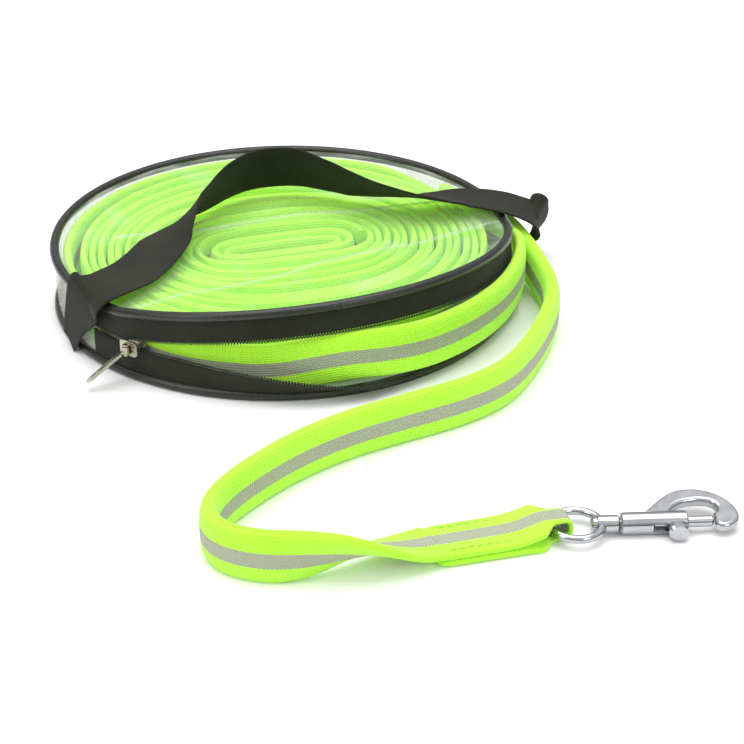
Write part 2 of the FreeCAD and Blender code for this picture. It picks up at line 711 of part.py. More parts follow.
for label, shape in (("slider_body", make_slider_body()), ("slider_crown", make_slider_crown())):
    feature = doc.addObject("Part::Feature", label)
    feature.Shape = shape
    feature.Placement = SLIDER_PLACE
    keep(feature, label)

TAB_LENGTH = 25.0
TAB_WIDTH = 6.4
TAB_THICKNESS = 1.3
TAB_EYE_RADIUS = 1.7
TAB_BORE = 0.78
TAB_DROOP = 36.0
TAB_TURN = -38.0


def make_pull_tab():
    """Upright eye on the pin with a flat tab that droops away from it."""
    eye = Part.makeCylinder(TAB_EYE_RADIUS, 3.6, Vector(0, 0, -1.8))
    arm = Part.makeBox(TAB_LENGTH - 3.0, TAB_WIDTH, TAB_THICKNESS, Vector(3.0, -TAB_WIDTH / 2, -TAB_THICKNESS / 2))
    arm = arm.makeFillet(2.4, [e for e in arm.Edges if e.BoundBox.ZLength > 1.0 and e.BoundBox.XMin > 10.0])
    neck = Part.makeBox(5.0, 2.6, TAB_THICKNESS, Vector(0.9, -1.3, -TAB_THICKNESS / 2))
    plate = arm.fuse(neck).removeSplitter()
    hole = Part.makeCylinder(1.5, 4.0, Vector(TAB_LENGTH - 4.6, 0, -2.0))
    plate = plate.cut(hole)
    plate.rotate(Vector(), Vector(1, 0, 0), 16.0)
    plate.rotate(Vector(), Vector(0, 1, 0), TAB_DROOP)
    bore = Part.makeCylinder(TAB_BORE, 8.0, Vector(0, 0, -4.0))
    return eye.fuse(plate).cut(bore).removeSplitter()


pull_tab = doc.addObject("Part::Feature", "pull_tab")
pull_tab.Shape = make_pull_tab()
pull_tab.Placement = SLIDER_PLACE.multiply(
    Placement(Vector(PIN_PLACE, 0, ZIP_LINE), Rotation(Vector(0, 0, 1), TAB_TURN))
)
keep(pull_tab, "pull_tab")

# ---------------------------------------------------------------- snap
# Bodies are turned about their own Z axis and laid along +X.

LAY_DOWN = Rotation(Vector(0, 1, 0), 90)


def snap_place(along):
    """Own Z axis on the snap's axis, starting at a place along X."""
    return Placement(Vector(along, size("snap_side"), size("snap_height")), LAY_DOWN)


def make_swivel_eye():
    """Wire ring with a bored boss for the swivel rivet."""
    ring = Part.makeTorus(size("eye_radius"), size("eye_wire"))
    ring.translate(Vector(size("eye_centre"), size("snap_side"), size("snap_height")))
    axis_start = Vector(133.0, size("snap_side"), size("snap_height"))
    along = Vector(1, 0, 0)
    boss = Part.makeCylinder(4.0, 9.6, axis_start, along)
    boss = boss.makeChamfer(0.8, boss.Edges[:1])
    bore = Part.makeCylinder(size("pivot_bore"), 30.0, axis_start - along * 2.0, along)
    return ring.fuse(boss).cut(bore).removeSplitter()


swivel_eye = doc.addObject("Part::Feature", "swivel_eye")
swivel_eye.Shape = make_swivel_eye()
keep(swivel_eye, "swivel_eye")


def turned_piece(label, along, outline):
    """Solid of revolution from (radius, distance) corners given as expressions."""
    body = new_body(label)
    sketch = new_sketch(body, "XZ_Plane")
    values = [(evaluate(r), evaluate(z)) for r, z in outline]
    count = len(outline)
    for i in range(count):
        start, end = values[i], values[(i + 1) % count]
        sketch.addGeometry(Part.LineSegment(Vector(*start, 0), Vector(*end, 0)), False)
    for i in range(count):
        sketch.addConstraint(Sketcher.Constraint("Coincident", i, 2, (i + 1) % count, 1))
    for i, (radius, distance) in enumerate(outline):
        bind(sketch, "DistanceX", i, 1, radius)
        bind(sketch, "DistanceY", i, 1, distance)
    revolve(body, sketch, "360")
    body.Placement = snap_place(along)
    return keep(body, label)


turned_piece(
    "swivel_rivet",
    130.2,
    [
        ("0", "0"), ("2.4", "0"), ("3.3", "0.9"), ("3.3", "2.6"), ("sizes.pivot_radius", "2.6"),
        ("sizes.pivot_radius", "sizes.barrel_start - 128.9"), ("0", "sizes.barrel_start - 128.9"),
    ],
)
turned_piece(
    "bolt",
    size("bolt_start"),
    [
        ("0", "0"), ("sizes.bolt_radius - 0.4", "0"), ("sizes.bolt_radius", "0.4"),
        ("sizes.bolt_radius", "sizes.bolt_length - 1.0"), ("sizes.bolt_radius - 1.0", "sizes.bolt_length"),
        ("0", "sizes.bolt_length"),
    ],
)

HOOK_TILT = 8.0
HOOK_HALF_THICKNESS = 2.5
HOOK_ROUNDING = 1.7
HOOK_OUTSIDE = [
    (151, 3.0), (157, 8.0), (163, 14.0), (170, 18.6), (178, 19.6), (186, 17.2), (192, 12.0), (195.3, 5.0),
    (195, -1.0), (191, -5.0), (186.5, -5.6),
]
HOOK_INSIDE = [
    (184.4, -4.2), (184.4, 3.2), (186.6, 6.2), (185.6, 9.6), (181, 11.6), (175, 11.4), (169.5, 9.2), (166, 5.5),
    (164, 2.0),
]
SLOT_WIDTH = 3.6
STEM_RADIUS = 1.6


def make_snap_body():
    """Barrel with its bore and thumb slot, and the flat hook that comes round to the bolt's tip."""
    side, height = size("snap_side"), size("snap_height")
    start, length = size("barrel_start"), size("barrel_length")
    along = Vector(1, 0, 0)
    barrel = Part.makeCylinder(size("barrel_radius"), length, Vector(start, side, height), along)
    rims = [e for e in barrel.Edges if len(e.Vertexes) == 1]
    barrel = barrel.makeChamfer(0.7, rims)
    outside = Part.BSplineCurve()
    outside.interpolate([Vector(x, w, 0) for x, w in HOOK_OUTSIDE])
    inside = Part.BSplineCurve()
    inside.interpolate([Vector(x, w, 0) for x, w in HOOK_INSIDE[1:]])
    tip_far, tip_near = Vector(*HOOK_OUTSIDE[-1], 0), Vector(*HOOK_INSIDE[0], 0)
    inner_near = Vector(*HOOK_INSIDE[1], 0)
    root_in, root_out = Vector(*HOOK_INSIDE[-1], 0), Vector(*HOOK_OUTSIDE[0], 0)
    wire = Part.Wire([
        outside.toShape(),
        Part.LineSegment(tip_far, tip_near).toShape(),
        Part.LineSegment(tip_near, inner_near).toShape(),
        inside.toShape(),
        Part.LineSegment(root_in, root_out).toShape(),
    ])
    hook = Part.Face(wire).extrude(Vector(0, 0, 2 * HOOK_HALF_THICKNESS))
    hook.translate(Vector(0, 0, -HOOK_HALF_THICKNESS))
    hook = hook.makeFillet(HOOK_ROUNDING, [e for e in hook.Edges if e.BoundBox.ZLength < 0.1])
    hook.rotate(Vector(), along, HOOK_TILT)
    hook.translate(Vector(0, side, height))
    body = barrel.fuse(hook).removeSplitter()
    bore_start = start + 1.6
    bore = Part.makeCylinder(size("bolt_bore"), length, Vector(bore_start, side, height), along)
    slot_start = size("knob_place") - size("bolt_travel") - SLOT_WIDTH / 2.0 - 0.3
    slot_length = size("bolt_travel") + SLOT_WIDTH + 0.6
    slot = Part.makeBox(
        slot_length, 8.0, SLOT_WIDTH, Vector(slot_start, side - 8.0, height - SLOT_WIDTH / 2.0)
    )
    return body.cut([bore, slot]).removeSplitter()


snap_body = doc.addObject("Part::Feature", "snap_body")
snap_body.Shape = make_snap_body()
keep(snap_body, "snap_body")

# Thumb knob: stem through the slot into the bolt, round head outside the barrel.
knob_body = new_body("thumb_knob")
knob_sketch = new_sketch(knob_body, "XZ_Plane")
KNOB_OUTLINE = [
    (0, 1.9), (STEM_RADIUS, 1.9), (STEM_RADIUS, 5.3), (4.0, 5.3), (4.5, 5.9), (4.5, 8.2), (3.6, 9.3), (0, 9.6),
]
for i, (radius, distance) in enumerate(KNOB_OUTLINE):
    following = KNOB_OUTLINE[(i + 1) % len(KNOB_OUTLINE)]
    knob_sketch.addGeometry(Part.LineSegment(Vector(radius, distance, 0), Vector(*following, 0)), False)
for i in range(len(KNOB_OUTLINE)):
    knob_sketch.addConstraint(Sketcher.Constraint("Coincident", i, 2, (i + 1) % len(KNOB_OUTLINE), 1))
knob_turn = revolve(knob_body, knob_sketch, "360")
knob_body.Placement = Placement(
    Vector(size("knob_place"), size("snap_side"), size("snap_height")), Rotation(Vector(1, 0, 0), 90)
)
keep(knob_body, "thumb_knob")

# Return spring, drawn at its shortest length at the blind end of the bore.
SPRING_TURNS = 5
SPRING_PITCH = 0.72
coils = []
for turn in range(SPRING_TURNS):
    coil = Part.makeTorus(1.9, 0.3)
    coil.Placement = snap_place(size("barrel_start") + 2.0 + turn * SPRING_PITCH)
    coils.append(coil)
bolt_spring = doc.addObject("Part::Feature", "bolt_spring")
bolt_spring.Shape = Part.makeCompound(coils)
keep(bolt_spring, "bolt_spring")

# ---------------------------------------------------------------- check and write

doc.recompute()
for item in doc.Objects:
    assert not ({"Invalid", "Error"} & set(item.State)), (item.Name, item.State)
os.makedirs("parts", exist_ok=True)
for item in parts:
    shape = item.Shape
    assert not shape.isNull() and shape.isValid(), item.Label
    assert shape.Volume > 0, item.Label
    box = shape.BoundBox
    print(f"{item.Label:26s} volume {shape.Volume:10.1f}  z {box.ZMin:6.1f} {box.ZMax:6.1f}")
    shape.exportStep(f"parts/{item.Label}.step")
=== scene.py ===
"""Training leash: a neon lunge line of padded webbing, wound in a round clear zip bag, with a bolt snap."""
import math

import bpy
import numpy as np
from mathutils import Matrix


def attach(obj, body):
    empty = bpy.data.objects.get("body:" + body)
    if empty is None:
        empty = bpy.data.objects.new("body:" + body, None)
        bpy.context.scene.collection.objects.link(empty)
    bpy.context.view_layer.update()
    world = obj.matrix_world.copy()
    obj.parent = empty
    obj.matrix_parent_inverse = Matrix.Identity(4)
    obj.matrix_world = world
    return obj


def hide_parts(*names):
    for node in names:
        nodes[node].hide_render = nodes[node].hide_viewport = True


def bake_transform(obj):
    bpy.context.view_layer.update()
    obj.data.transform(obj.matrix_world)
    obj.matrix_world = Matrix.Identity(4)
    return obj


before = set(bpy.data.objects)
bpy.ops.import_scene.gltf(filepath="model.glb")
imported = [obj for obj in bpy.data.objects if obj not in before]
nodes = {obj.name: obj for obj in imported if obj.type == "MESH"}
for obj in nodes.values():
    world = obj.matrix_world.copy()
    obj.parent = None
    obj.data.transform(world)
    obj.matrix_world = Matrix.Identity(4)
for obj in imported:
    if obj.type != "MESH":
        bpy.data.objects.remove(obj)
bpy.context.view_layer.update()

# ---------------------------------------------------------------- studio
# Flat pale paper under the leash, with a broad soft light overhead and two fill lights.
# The camera looks down at the bag's open front from a metre away.

camera_data = bpy.data.cameras.new("camera")
camera_data.lens = 87.4
camera = bpy.data.objects.new("camera", camera_data)
camera.location = (0.0, -0.8988, 0.4384)
camera.rotation_euler = (math.radians(61.4), 0.0, math.radians(-3.1))
bpy.context.scene.collection.objects.link(camera)
bpy.context.scene.camera = camera
bpy.context.scene.view_settings.view_transform = "Standard"


def new_object(name, vertices, faces, body=None):
    """Mesh object at the origin from arrays of points and faces, smooth but for sharp edges."""
    mesh = bpy.data.meshes.new(name)
    mesh.from_pydata(np.asarray(vertices).tolist(), [], [list(map(int, face)) for face in faces])
    mesh.shade_smooth()
    mesh.set_sharp_from_angle(angle=math.radians(48.0))
    made = bpy.data.objects.new(name, mesh)
    bpy.context.scene.collection.objects.link(made)
    if body is not None:
        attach(made, body)
    return made


def node(tree, kind, inputs=None, **settings):
    """New shader node; each input takes a number, a colour or another node's output."""
    made = tree.nodes.new("ShaderNode" + kind)
    for key, value in settings.items():
        setattr(made, key, value)
    for key, value in (inputs or {}).items():
        if isinstance(value, bpy.types.NodeSocket):
            tree.links.new(value, made.inputs[key])
        else:
            made.inputs[key].default_value = value
    return made


def new_material(name, **values):
    """Material with its shader's own sockets set; returns the material, its node tree and its shader."""
    made = bpy.data.materials.new(name)
    made.use_nodes = True
    shader = made.node_tree.nodes["Principled BSDF"]
    for socket, value in values.items():
        shader.inputs[socket.replace("_", " ")].default_value = value
    return made, made.node_tree, shader


def between(tree, factor, low, high):
    """Colour between two colours by a factor."""
    mixed = node(tree, "Mix", {0: factor, 6: (*low, 1.0), 7: (*high, 1.0)}, data_type="RGBA")
    return mixed.outputs[2]


def feed_bump(tree, shader, height, strength, distance):
    """Bump from a height, into the shader's normal."""
    bump = node(tree, "Bump", {"Height": height, "Strength": strength, "Distance": distance})
    tree.links.new(bump.outputs[0], shader.inputs["Normal"])


def paper():
    """Matt white paper with a faint tooth."""
    made, tree, shader = new_material("paper", Roughness=0.9)
    shader.inputs["Specular IOR Level"].default_value = 0.1
    place = node(tree, "TexCoord").outputs["Object"]
    tooth = node(tree, "TexNoise", {"Vector": place, "Scale": 300.0}).outputs[0]
    tree.links.new(between(tree, tooth, (0.93, 0.93, 0.93), (0.96, 0.96, 0.96)), shader.inputs["Base Color"])
    return made


FLOOR_HALF = 4.0
floor_corners = [(FLOOR_HALF * x, FLOOR_HALF * y, 0.0) for x, y in ((-1, -1), (1, -1), (1, 1), (-1, 1))]
floor = new_object("floor", floor_corners, [(0, 1, 2, 3)])
floor.data.materials.append(paper())

world = bpy.data.worlds.new("studio")
world.use_nodes = True
sky = world.node_tree
backdrop = sky.nodes["Background"]
direction = node(sky, "SeparateXYZ", {0: node(sky, "TexCoord").outputs["Generated"]})
rise = node(sky, "MapRange", {0: direction.outputs[2], 1: 0.0, 2: 0.75}, interpolation_type="SMOOTHSTEP")
sky.links.new(between(sky, rise.outputs[0], (0.22, 0.22, 0.22), (1.0, 1.0, 1.0)), backdrop.inputs[0])
backdrop.inputs[1].default_value = 0.95
bpy.context.scene.world = world

LIGHTS = [
    # name, place, turn in degrees, side length, power
    ("overhead", (0.0, 0.1, 1.6), (0.0, 0.0, 0.0), 1.6, 20.0),
    ("left_fill", (-1.3, -0.9, 0.9), (60.0, 0.0, -55.0), 0.8, 6.0),
    ("front_fill", (0.9, -1.4, 0.8), (65.0, 0.0, 33.0), 0.6, 4.0),
]
for light_name, light_place, light_turn, light_side, light_power in LIGHTS:
    light = bpy.data.lights.new(light_name, "AREA")
    light.size = light_side
    light.energy = light_power
    lamp = bpy.data.objects.new(light_name, light)
    lamp.location = light_place
    lamp.rotation_euler = [math.radians(a) for a in light_turn]
    bpy.context.scene.collection.objects.link(lamp)

# ---------------------------------------------------------------- base panel
# The floor of the bag is a round of thick clear vinyl, cut flat.
# Its edge is caught in the seam of the corded piping.


def clear_vinyl(name, haze):
    """Clear soft vinyl: see-through face on; paler and less clear where it turns from the camera, a painted
    reflection; paler where its fold attribute is high; paler in noise patches of painted sheen.
    """
    made, tree, shader = new_material(name, Roughness=0.07, IOR=1.5)
    place = node(tree, "TexCoord").outputs["Object"]
    facing = node(tree, "LayerWeight", {"Blend": 0.35}).outputs["Fresnel"]
    # Painted sheen: noise patches made paler and more opaque stand in for light caught on wrinkles.
    sheen_patch_noise = node(tree, "TexNoise", {"Vector": place, "Scale": 16.0, "Detail": 4.0, "Distortion": 1.6})
    sheen_patches = sheen_patch_noise.outputs[0]
    painted_sheen_patch = node(tree, "MapRange", {0: sheen_patches, 1: 0.56, 2: 0.76, 3: 0.0, 4: 0.14}).outputs[0]
    # Painted reflection: the film is made paler and more opaque where it turns away from the camera.
    painted_reflection_veil = node(tree, "Math", {0: facing, 1: 0.12, 2: haze}, operation="MULTIPLY_ADD").outputs[0]
    folds = node(tree, "Attribute", attribute_name="fold").outputs["Fac"]
    whitened = node(tree, "Math", {0: folds, 1: 0.55, 2: painted_reflection_veil}, operation="MULTIPLY_ADD").outputs[0]
    share = node(tree, "Math", {0: whitened, 1: painted_sheen_patch}, operation="ADD", use_clamp=True).outputs[0]
    tree.links.new(share, shader.inputs["Alpha"])
    # The tint is paler in the same painted sheen patches.
    tint = between(tree, sheen_patches, (0.50, 0.56, 0.48), (0.74, 0.80, 0.72))
    tree.links.new(tint, shader.inputs["Base Color"])
    ripple = node(tree, "TexNoise", {"Vector": place, "Scale": 34.0, "Detail": 2.0, "Distortion": 0.8})
    feed_bump(tree, shader, ripple.outputs[0], 0.35, 0.002)
    return made


lid_vinyl = clear_vinyl("clear_lid_vinyl", 0.015)
wall_vinyl = clear_vinyl("clear_wall_vinyl", 0.22)


def dress(node_name, finish):
    """Give a CAD node's object one material."""
    carried = nodes[node_name]
    carried.data.materials.clear()
    carried.data.materials.append(finish)


dress("base_panel", wall_vinyl)

# ---------------------------------------------------------------- base piping
# Black vinyl wrapped round a 5 mm cord and sewn shut beside it, all round the base.
# The lid has the same piping; the sewn lip under the cord shows as a narrow step.

CORD_RING = 0.1225
CORD_RADIUS = 0.0025
LIP_SPREAD = 0.34
BASE_CORD_HEIGHT = 0.0025
LID_HEIGHT = 0.035
CREASE_OFFSET = 0.0448
CREASE_ALONG = np.array([0.8988, 0.4384, 0.0])
CREASE_FRONT = np.array([0.4384, -0.8988, 0.0])
CREASE_POINT = CREASE_FRONT * CREASE_OFFSET + np.array([0.0, 0.0, LID_HEIGHT])
FLAP_LIFT = math.radians(11.3)
FOLD_HALF = 0.003
upright = np.array([0.0, 0.0, 1.0])


def smooth_step(value):
    """Rises from 0 to 1 with no slope at either end: 3x^2 - 2x^3 on 0 to 1."""
    ramp = np.clip(value, 0.0, 1.0)
    return ramp * ramp * (3.0 - 2.0 * ramp)


def raise_flap(points):
    """Turns what lies in front of the crease up about it, by the flap's lift times a smooth step across
    the fold."""
    off = points - CREASE_POINT
    front = off @ CREASE_FRONT
    along = (off @ CREASE_ALONG)[..., None] * CREASE_ALONG
    high = off[..., 2]
    turn = FLAP_LIFT * smooth_step(front / (2.0 * FOLD_HALF) + 0.5)
    ahead = front * np.cos(turn) - high * np.sin(turn)
    up = front * np.sin(turn) + high * np.cos(turn)
    return CREASE_POINT + along + ahead[..., None] * CREASE_FRONT + up[..., None] * upright


def unit(vectors):
    """Vectors scaled to length one."""
    return vectors / np.linalg.norm(vectors, axis=-1, keepdims=True)


def carry_profile(name, centre, across, profile, body=None, closed=False, along=None):
    """Skin of a profile carried along a path: at each centre c the ring is c + a X + f Y, where a is the
    width direction, f = t x a with t the path's direction, and (X, Y) are the profile's own coordinates,
    which may change from one station to the next. The UV map called run holds the length run in metres and
    the profile's X."""
    stations, around = len(centre), profile.shape[-2]
    if closed:
        along = np.roll(centre, -1, axis=0) - np.roll(centre, 1, axis=0)
    elif along is None:
        along = np.gradient(centre, axis=0)
    along = unit(along)
    across = unit(across - (across * along).sum(axis=1, keepdims=True) * along)
    facing = np.cross(along, across)
    profile = np.broadcast_to(profile, (stations, around, 2))
    rings = centre[:, None] + across[:, None] * profile[..., :1] + facing[:, None] * profile[..., 1:]
    steps = stations if closed else stations - 1
    i, j = np.meshgrid(np.arange(steps), np.arange(around), indexing="ij")
    i, j = i.ravel(), j.ravel()
    ahead, beside = (i + 1) % stations, (j + 1) % around
    here, there = i * around, ahead * around
    faces = np.stack([here + j, here + beside, there + beside, there + j], axis=1).tolist()
    if not closed:
        faces.append(list(range(around - 1, -1, -1)))
        faces.append(list(range((stations - 1) * around, stations * around)))
    made = new_object(name, rings.reshape(-1, 3), faces, body)
    stride = np.linalg.norm(np.diff(centre, axis=0, append=centre[:1]), axis=1)
    run = np.concatenate([[0.0], np.cumsum(stride)])
    run_at = np.stack([run[i], run[i], run[i + 1], run[i + 1]], axis=1)
    x = profile[..., 0]
    side_at = np.stack([x[i, j], x[i, beside], x[ahead, beside], x[ahead, j]], axis=1)
    uv = np.stack([run_at, side_at], axis=-1).reshape(-1, 2)
    if not closed:
        first_end = np.stack([np.zeros(around), x[0, ::-1]], axis=1)
        last_end = np.stack([np.full(around, run[-2]), x[-1]], axis=1)
        uv = np.concatenate([uv, first_end, last_end])
    layer = made.data.uv_layers.new(name="run")
    layer.data.foreach_set("uv", uv.astype(np.float32).ravel())
    return made


def ring_points(angles, radius, height):
    """Points round the bag's axis at angles in degrees."""
    turn = np.radians(angles)
    high = np.broadcast_to(height, np.shape(turn))
    return np.stack([radius * np.cos(turn), radius * np.sin(turn), high], axis=-1)


def piping_profile(lip):
    """Round cord with a sewn lip: a circle with its lowest point drawn down to the lip's length."""
    around = np.linspace(0.0, 2.0 * np.pi, 28, endpoint=False)
    x, y = np.cos(around), np.sin(around)
    pinch = np.exp(-((around - 1.5 * np.pi) / LIP_SPREAD) ** 2)
    return np.stack([CORD_RADIUS * x, CORD_RADIUS * y - (lip - CORD_RADIUS) * pinch], axis=1)


def piping_vinyl():
    """Black vinyl drawn tight over a cord: satin gloss, fine leather grain, greyer where it is rubbed."""
    made, tree, shader = new_material("black_piping_vinyl", Roughness=0.38, IOR=1.5)
    place = node(tree, "TexCoord").outputs["Object"]
    grain = node(tree, "TexVoronoi", {"Vector": place, "Scale": 1100.0}).outputs[0]
    rub = node(tree, "TexNoise", {"Vector": place, "Scale": 60.0, "Detail": 5.0}).outputs[0]
    black = between(tree, rub, (0.008, 0.009, 0.006), (0.022, 0.024, 0.018))
    tree.links.new(black, shader.inputs["Base Color"])
    tree.links.new(node(tree, "MapRange", {0: rub, 3: 0.2, 4: 0.38}).outputs[0], shader.inputs["Roughness"])
    feed_bump(tree, shader, grain, 0.25, 0.0003)
    return made


black_piping = piping_vinyl()
ring_angles = np.linspace(0.0, 360.0, 240, endpoint=False)


def outward(angles):
    """Directions away from the bag's axis."""
    return ring_points(angles, 1.0, 0.0)


base_piping = carry_profile(
    "base_piping_cord", ring_points(ring_angles, CORD_RING, BASE_CORD_HEIGHT), -outward(ring_angles),
    piping_profile(CORD_RADIUS), "root", closed=True,
)
base_piping.data.materials.append(black_piping)
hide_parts("base_piping")

# ---------------------------------------------------------------- clear wall
# A strip of the same vinyl stands between the two rings of piping at the back and left.
# It buckles a little where the line presses on it.

WALL_RADIUS = 0.1225
WALL_LOW, WALL_HIGH = 0.0046, 0.0328
WALL_START, WALL_END = 36.0, 218.4


def grid_faces(rows, columns):
    """Quads of a grid of points, facing along (row direction) x (column direction)."""
    i, j = np.meshgrid(np.arange(rows - 1), np.arange(columns - 1), indexing="ij")
    first = (i * columns + j).ravel()
    return np.stack([first, first + columns, first + columns + 1, first + 1], axis=1).tolist()


def wall_sheet():
    """Strip of a cylinder, with waves that fade out at its sewn edges: radius + sin(pi h) times two sines."""
    turn, rise = np.meshgrid(np.linspace(WALL_START, WALL_END, 190), np.linspace(0.0, 1.0, 12), indexing="ij")
    wave = 0.0007 * np.sin(np.radians(turn) * 23.0) + 0.0006 * np.sin(np.radians(turn) * 9.0 + 1.0)
    radius = WALL_RADIUS + np.sin(np.pi * rise) * wave
    points = ring_points(turn, radius, WALL_LOW + (WALL_HIGH - WALL_LOW) * rise)
    return points, grid_faces(*turn.shape)


wall_points, wall_faces = wall_sheet()
wall = new_object("clear_wall", wall_points.reshape(-1, 3), wall_faces, "root")
wall_thickness = wall.modifiers.new("thickness", "SOLIDIFY")
wall_thickness.thickness = 0.0005
wall_thickness.offset = 0.0
wall.data.materials.append(wall_vinyl)
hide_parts("rear_wall")

# ---------------------------------------------------------------- lower zip tape
# Black woven tape, sewn to the base piping. It stands up by the slider and is pushed outwards and
# down where the line bulges over it. Its nylon coil runs along the free edge.

TAPE_FOOT_RADIUS, TAPE_FOOT_HEIGHT = 0.1226, 0.0040
TAPE_LENGTH, TAPE_SHORT, TAPE_CRUSHED = 0.0130, 0.0095, 0.0040
ZIP_START, ZIP_END = 218.0, 395.0
UPRIGHT_UNTIL, LEANS_OVER, LEAN_EASE = 244.0, 44.0, 1.3
LEAN, CRUSHED_LEAN = 71.0, 88.0
TUCKED_LEAN, TAPE_TUCKED = 16.0, 0.0040
# Each change round the bag: the angle where it starts, and the degrees that it takes.
SHORTENING, STRAIGHTENING, CRUSH = (288.0, 14.0), (298.0, 14.0), (335.0, 15.0)
ZIP_PITCH = 0.0015


def flat_profile(width, thickness, edge=0.25, around=24):
    """Flat tape's section: x = w/2 c |c|^(e-1), y = h/2 s |s|^(e-1) with c, s = cos, sin, and e small for
    square edges."""
    turn = np.linspace(0.0, 2.0 * np.pi, around, endpoint=False) + np.pi / around
    c, s = np.cos(turn), np.sin(turn)
    x = np.sign(c) * np.abs(c) ** edge * 0.5
    y = np.sign(s) * np.abs(s) ** edge * 0.5
    width, thickness = np.broadcast_arrays(np.asarray(width, float), np.asarray(thickness, float))
    return np.stack([x * width[..., None], y * thickness[..., None]], axis=-1)


def sine_of(tree, length, period):
    """sin(2 pi length / period)."""
    turn = node(tree, "Math", {0: length, 1: 2.0 * math.pi / period}, operation="MULTIPLY").outputs[0]
    return node(tree, "Math", {0: turn}, operation="SINE").outputs[0]


def woven_tape(name, dark, light, rib, shine):
    """Close-woven black tape: ribs across its run, fine yarns along it, slow wear in colour."""
    made, tree, shader = new_material(name, Roughness=shine, Sheen_Weight=0.06, Sheen_Roughness=0.5)
    shader.inputs["Specular IOR Level"].default_value = 0.12
    uv = node(tree, "SeparateXYZ", {0: node(tree, "UVMap", uv_map="run").outputs[0]})
    ribs = sine_of(tree, uv.outputs[0], rib)
    yarns = sine_of(tree, uv.outputs[1], rib * 0.8)
    weave = node(tree, "Math", {0: ribs, 1: yarns}, operation="MULTIPLY").outputs[0]
    place = node(tree, "TexCoord").outputs["Object"]
    wear = node(tree, "TexNoise", {"Vector": place, "Scale": 45.0, "Detail": 5.0}).outputs[0]
    blend = node(tree, "Math", {0: weave, 1: 0.22, 2: wear}, operation="MULTIPLY_ADD", use_clamp=True)
    tree.links.new(between(tree, blend.outputs[0], dark, light), shader.inputs["Base Color"])
    feed_bump(tree, shader, weave, 0.45, 0.0003)
    return made


zip_tape = woven_tape("black_zip_tape", (0.010, 0.011, 0.007), (0.026, 0.029, 0.019), 0.0012, 0.6)


def ramp(angles, start, over):
    """Smooth step from 0 at the start angle to 1 so many degrees on."""
    return smooth_step((angles - start) / over)


def tape_lean(angles):
    """Lean from upright in radians and length of the lower tape: upright, leaning, tucked in behind the
    line's last turn, then crushed flat."""
    share = np.clip((angles - UPRIGHT_UNTIL) / LEANS_OVER, 0.0, 1.0) ** LEAN_EASE
    crush = ramp(angles, *CRUSH)
    lean = LEAN * share
    lean += (TUCKED_LEAN - lean) * ramp(angles, *STRAIGHTENING)
    length = TAPE_LENGTH + (TAPE_SHORT - TAPE_LENGTH) * share
    length += (TAPE_TUCKED - length) * ramp(angles, *SHORTENING)
    return np.radians(lean + (CRUSHED_LEAN - lean) * crush), length + (TAPE_CRUSHED - length) * crush


zip_angles = np.linspace(ZIP_START, ZIP_END, 220)
lean, tape_run = tape_lean(zip_angles)
tape_up = outward(zip_angles) * np.sin(lean)[:, None] + upright * np.cos(lean)[:, None]
tape_foot = ring_points(zip_angles, TAPE_FOOT_RADIUS, TAPE_FOOT_HEIGHT)
lower_tape = carry_profile(
    "lower_zip_tape_band", tape_foot + tape_up * (tape_run / 2.0)[:, None], tape_up,
    flat_profile(tape_run, 0.001), "root",
)
lower_tape.data.materials.append(zip_tape)
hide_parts("lower_zip_tape")


def nylon_wire():
    """Smooth dark nylon wire, a little dusty."""
    made, tree, shader = new_material("black_zip_nylon", Roughness=0.32, IOR=1.53)
    place = node(tree, "TexCoord").outputs["Object"]
    dust = node(tree, "TexNoise", {"Vector": place, "Scale": 420.0, "Detail": 3.0}).outputs[0]
    black = between(tree, dust, (0.010, 0.011, 0.008), (0.04, 0.044, 0.03))
    tree.links.new(black, shader.inputs["Base Color"])
    feed_bump(tree, shader, dust, 0.15, 0.0002)
    return made


black_nylon = nylon_wire()
COIL_HIGH, COIL_WIDE, WIRE_RADIUS = 0.0017, 0.0021, 0.00034
POINTS_A_TURN, WIRE_SIDES = 10, 6


def zip_coil(name, line, up, body):
    """Coil of nylon wire wound along a line: c + r (wide/2 cos q) + u (high/2 sin q), one turn each zip
    pitch, with a six-sided tube round it."""
    run = np.concatenate([[0.0], np.cumsum(np.linalg.norm(np.diff(line, axis=0), axis=1))])
    turns = run[-1] / ZIP_PITCH
    at = np.linspace(0.0, run[-1], int(turns * POINTS_A_TURN))
    centre = np.stack([np.interp(at, run, line[:, k]) for k in range(3)], axis=1)
    rise = unit(np.stack([np.interp(at, run, up[:, k]) for k in range(3)], axis=1))
    side = unit(np.cross(np.gradient(centre, axis=0), rise))
    turn = (at / ZIP_PITCH * 2.0 * np.pi)[:, None]
    winding = side * np.cos(turn) * (COIL_WIDE / 2.0 - WIRE_RADIUS)
    winding = winding + rise * np.sin(turn) * (COIL_HIGH / 2.0 - WIRE_RADIUS)
    ring = np.linspace(0.0, 2.0 * np.pi, WIRE_SIDES, endpoint=False)
    profile = WIRE_RADIUS * np.stack([np.cos(ring), np.sin(ring)], axis=1)
    made = carry_profile(name, centre + winding, unit(winding), profile, body)
    made.data.materials.append(black_nylon)
    return made


COIL_PAST_TAPE = 0.0008
lower_edge = tape_foot + tape_up * (tape_run + COIL_PAST_TAPE)[:, None]
lower_coil = zip_coil("lower_zip_coil", lower_edge, tape_up, "root")
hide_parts("lower_zip_teeth")

# ---------------------------------------------------------------- free tail of the line
# Tubular webbing with a soft filling, 25 mm wide, with a grey reflective stripe woven in on both faces.
# It leaves the bag at the right on edge, comes down to lie on its edge round the front, and turns flat
# before the snap.

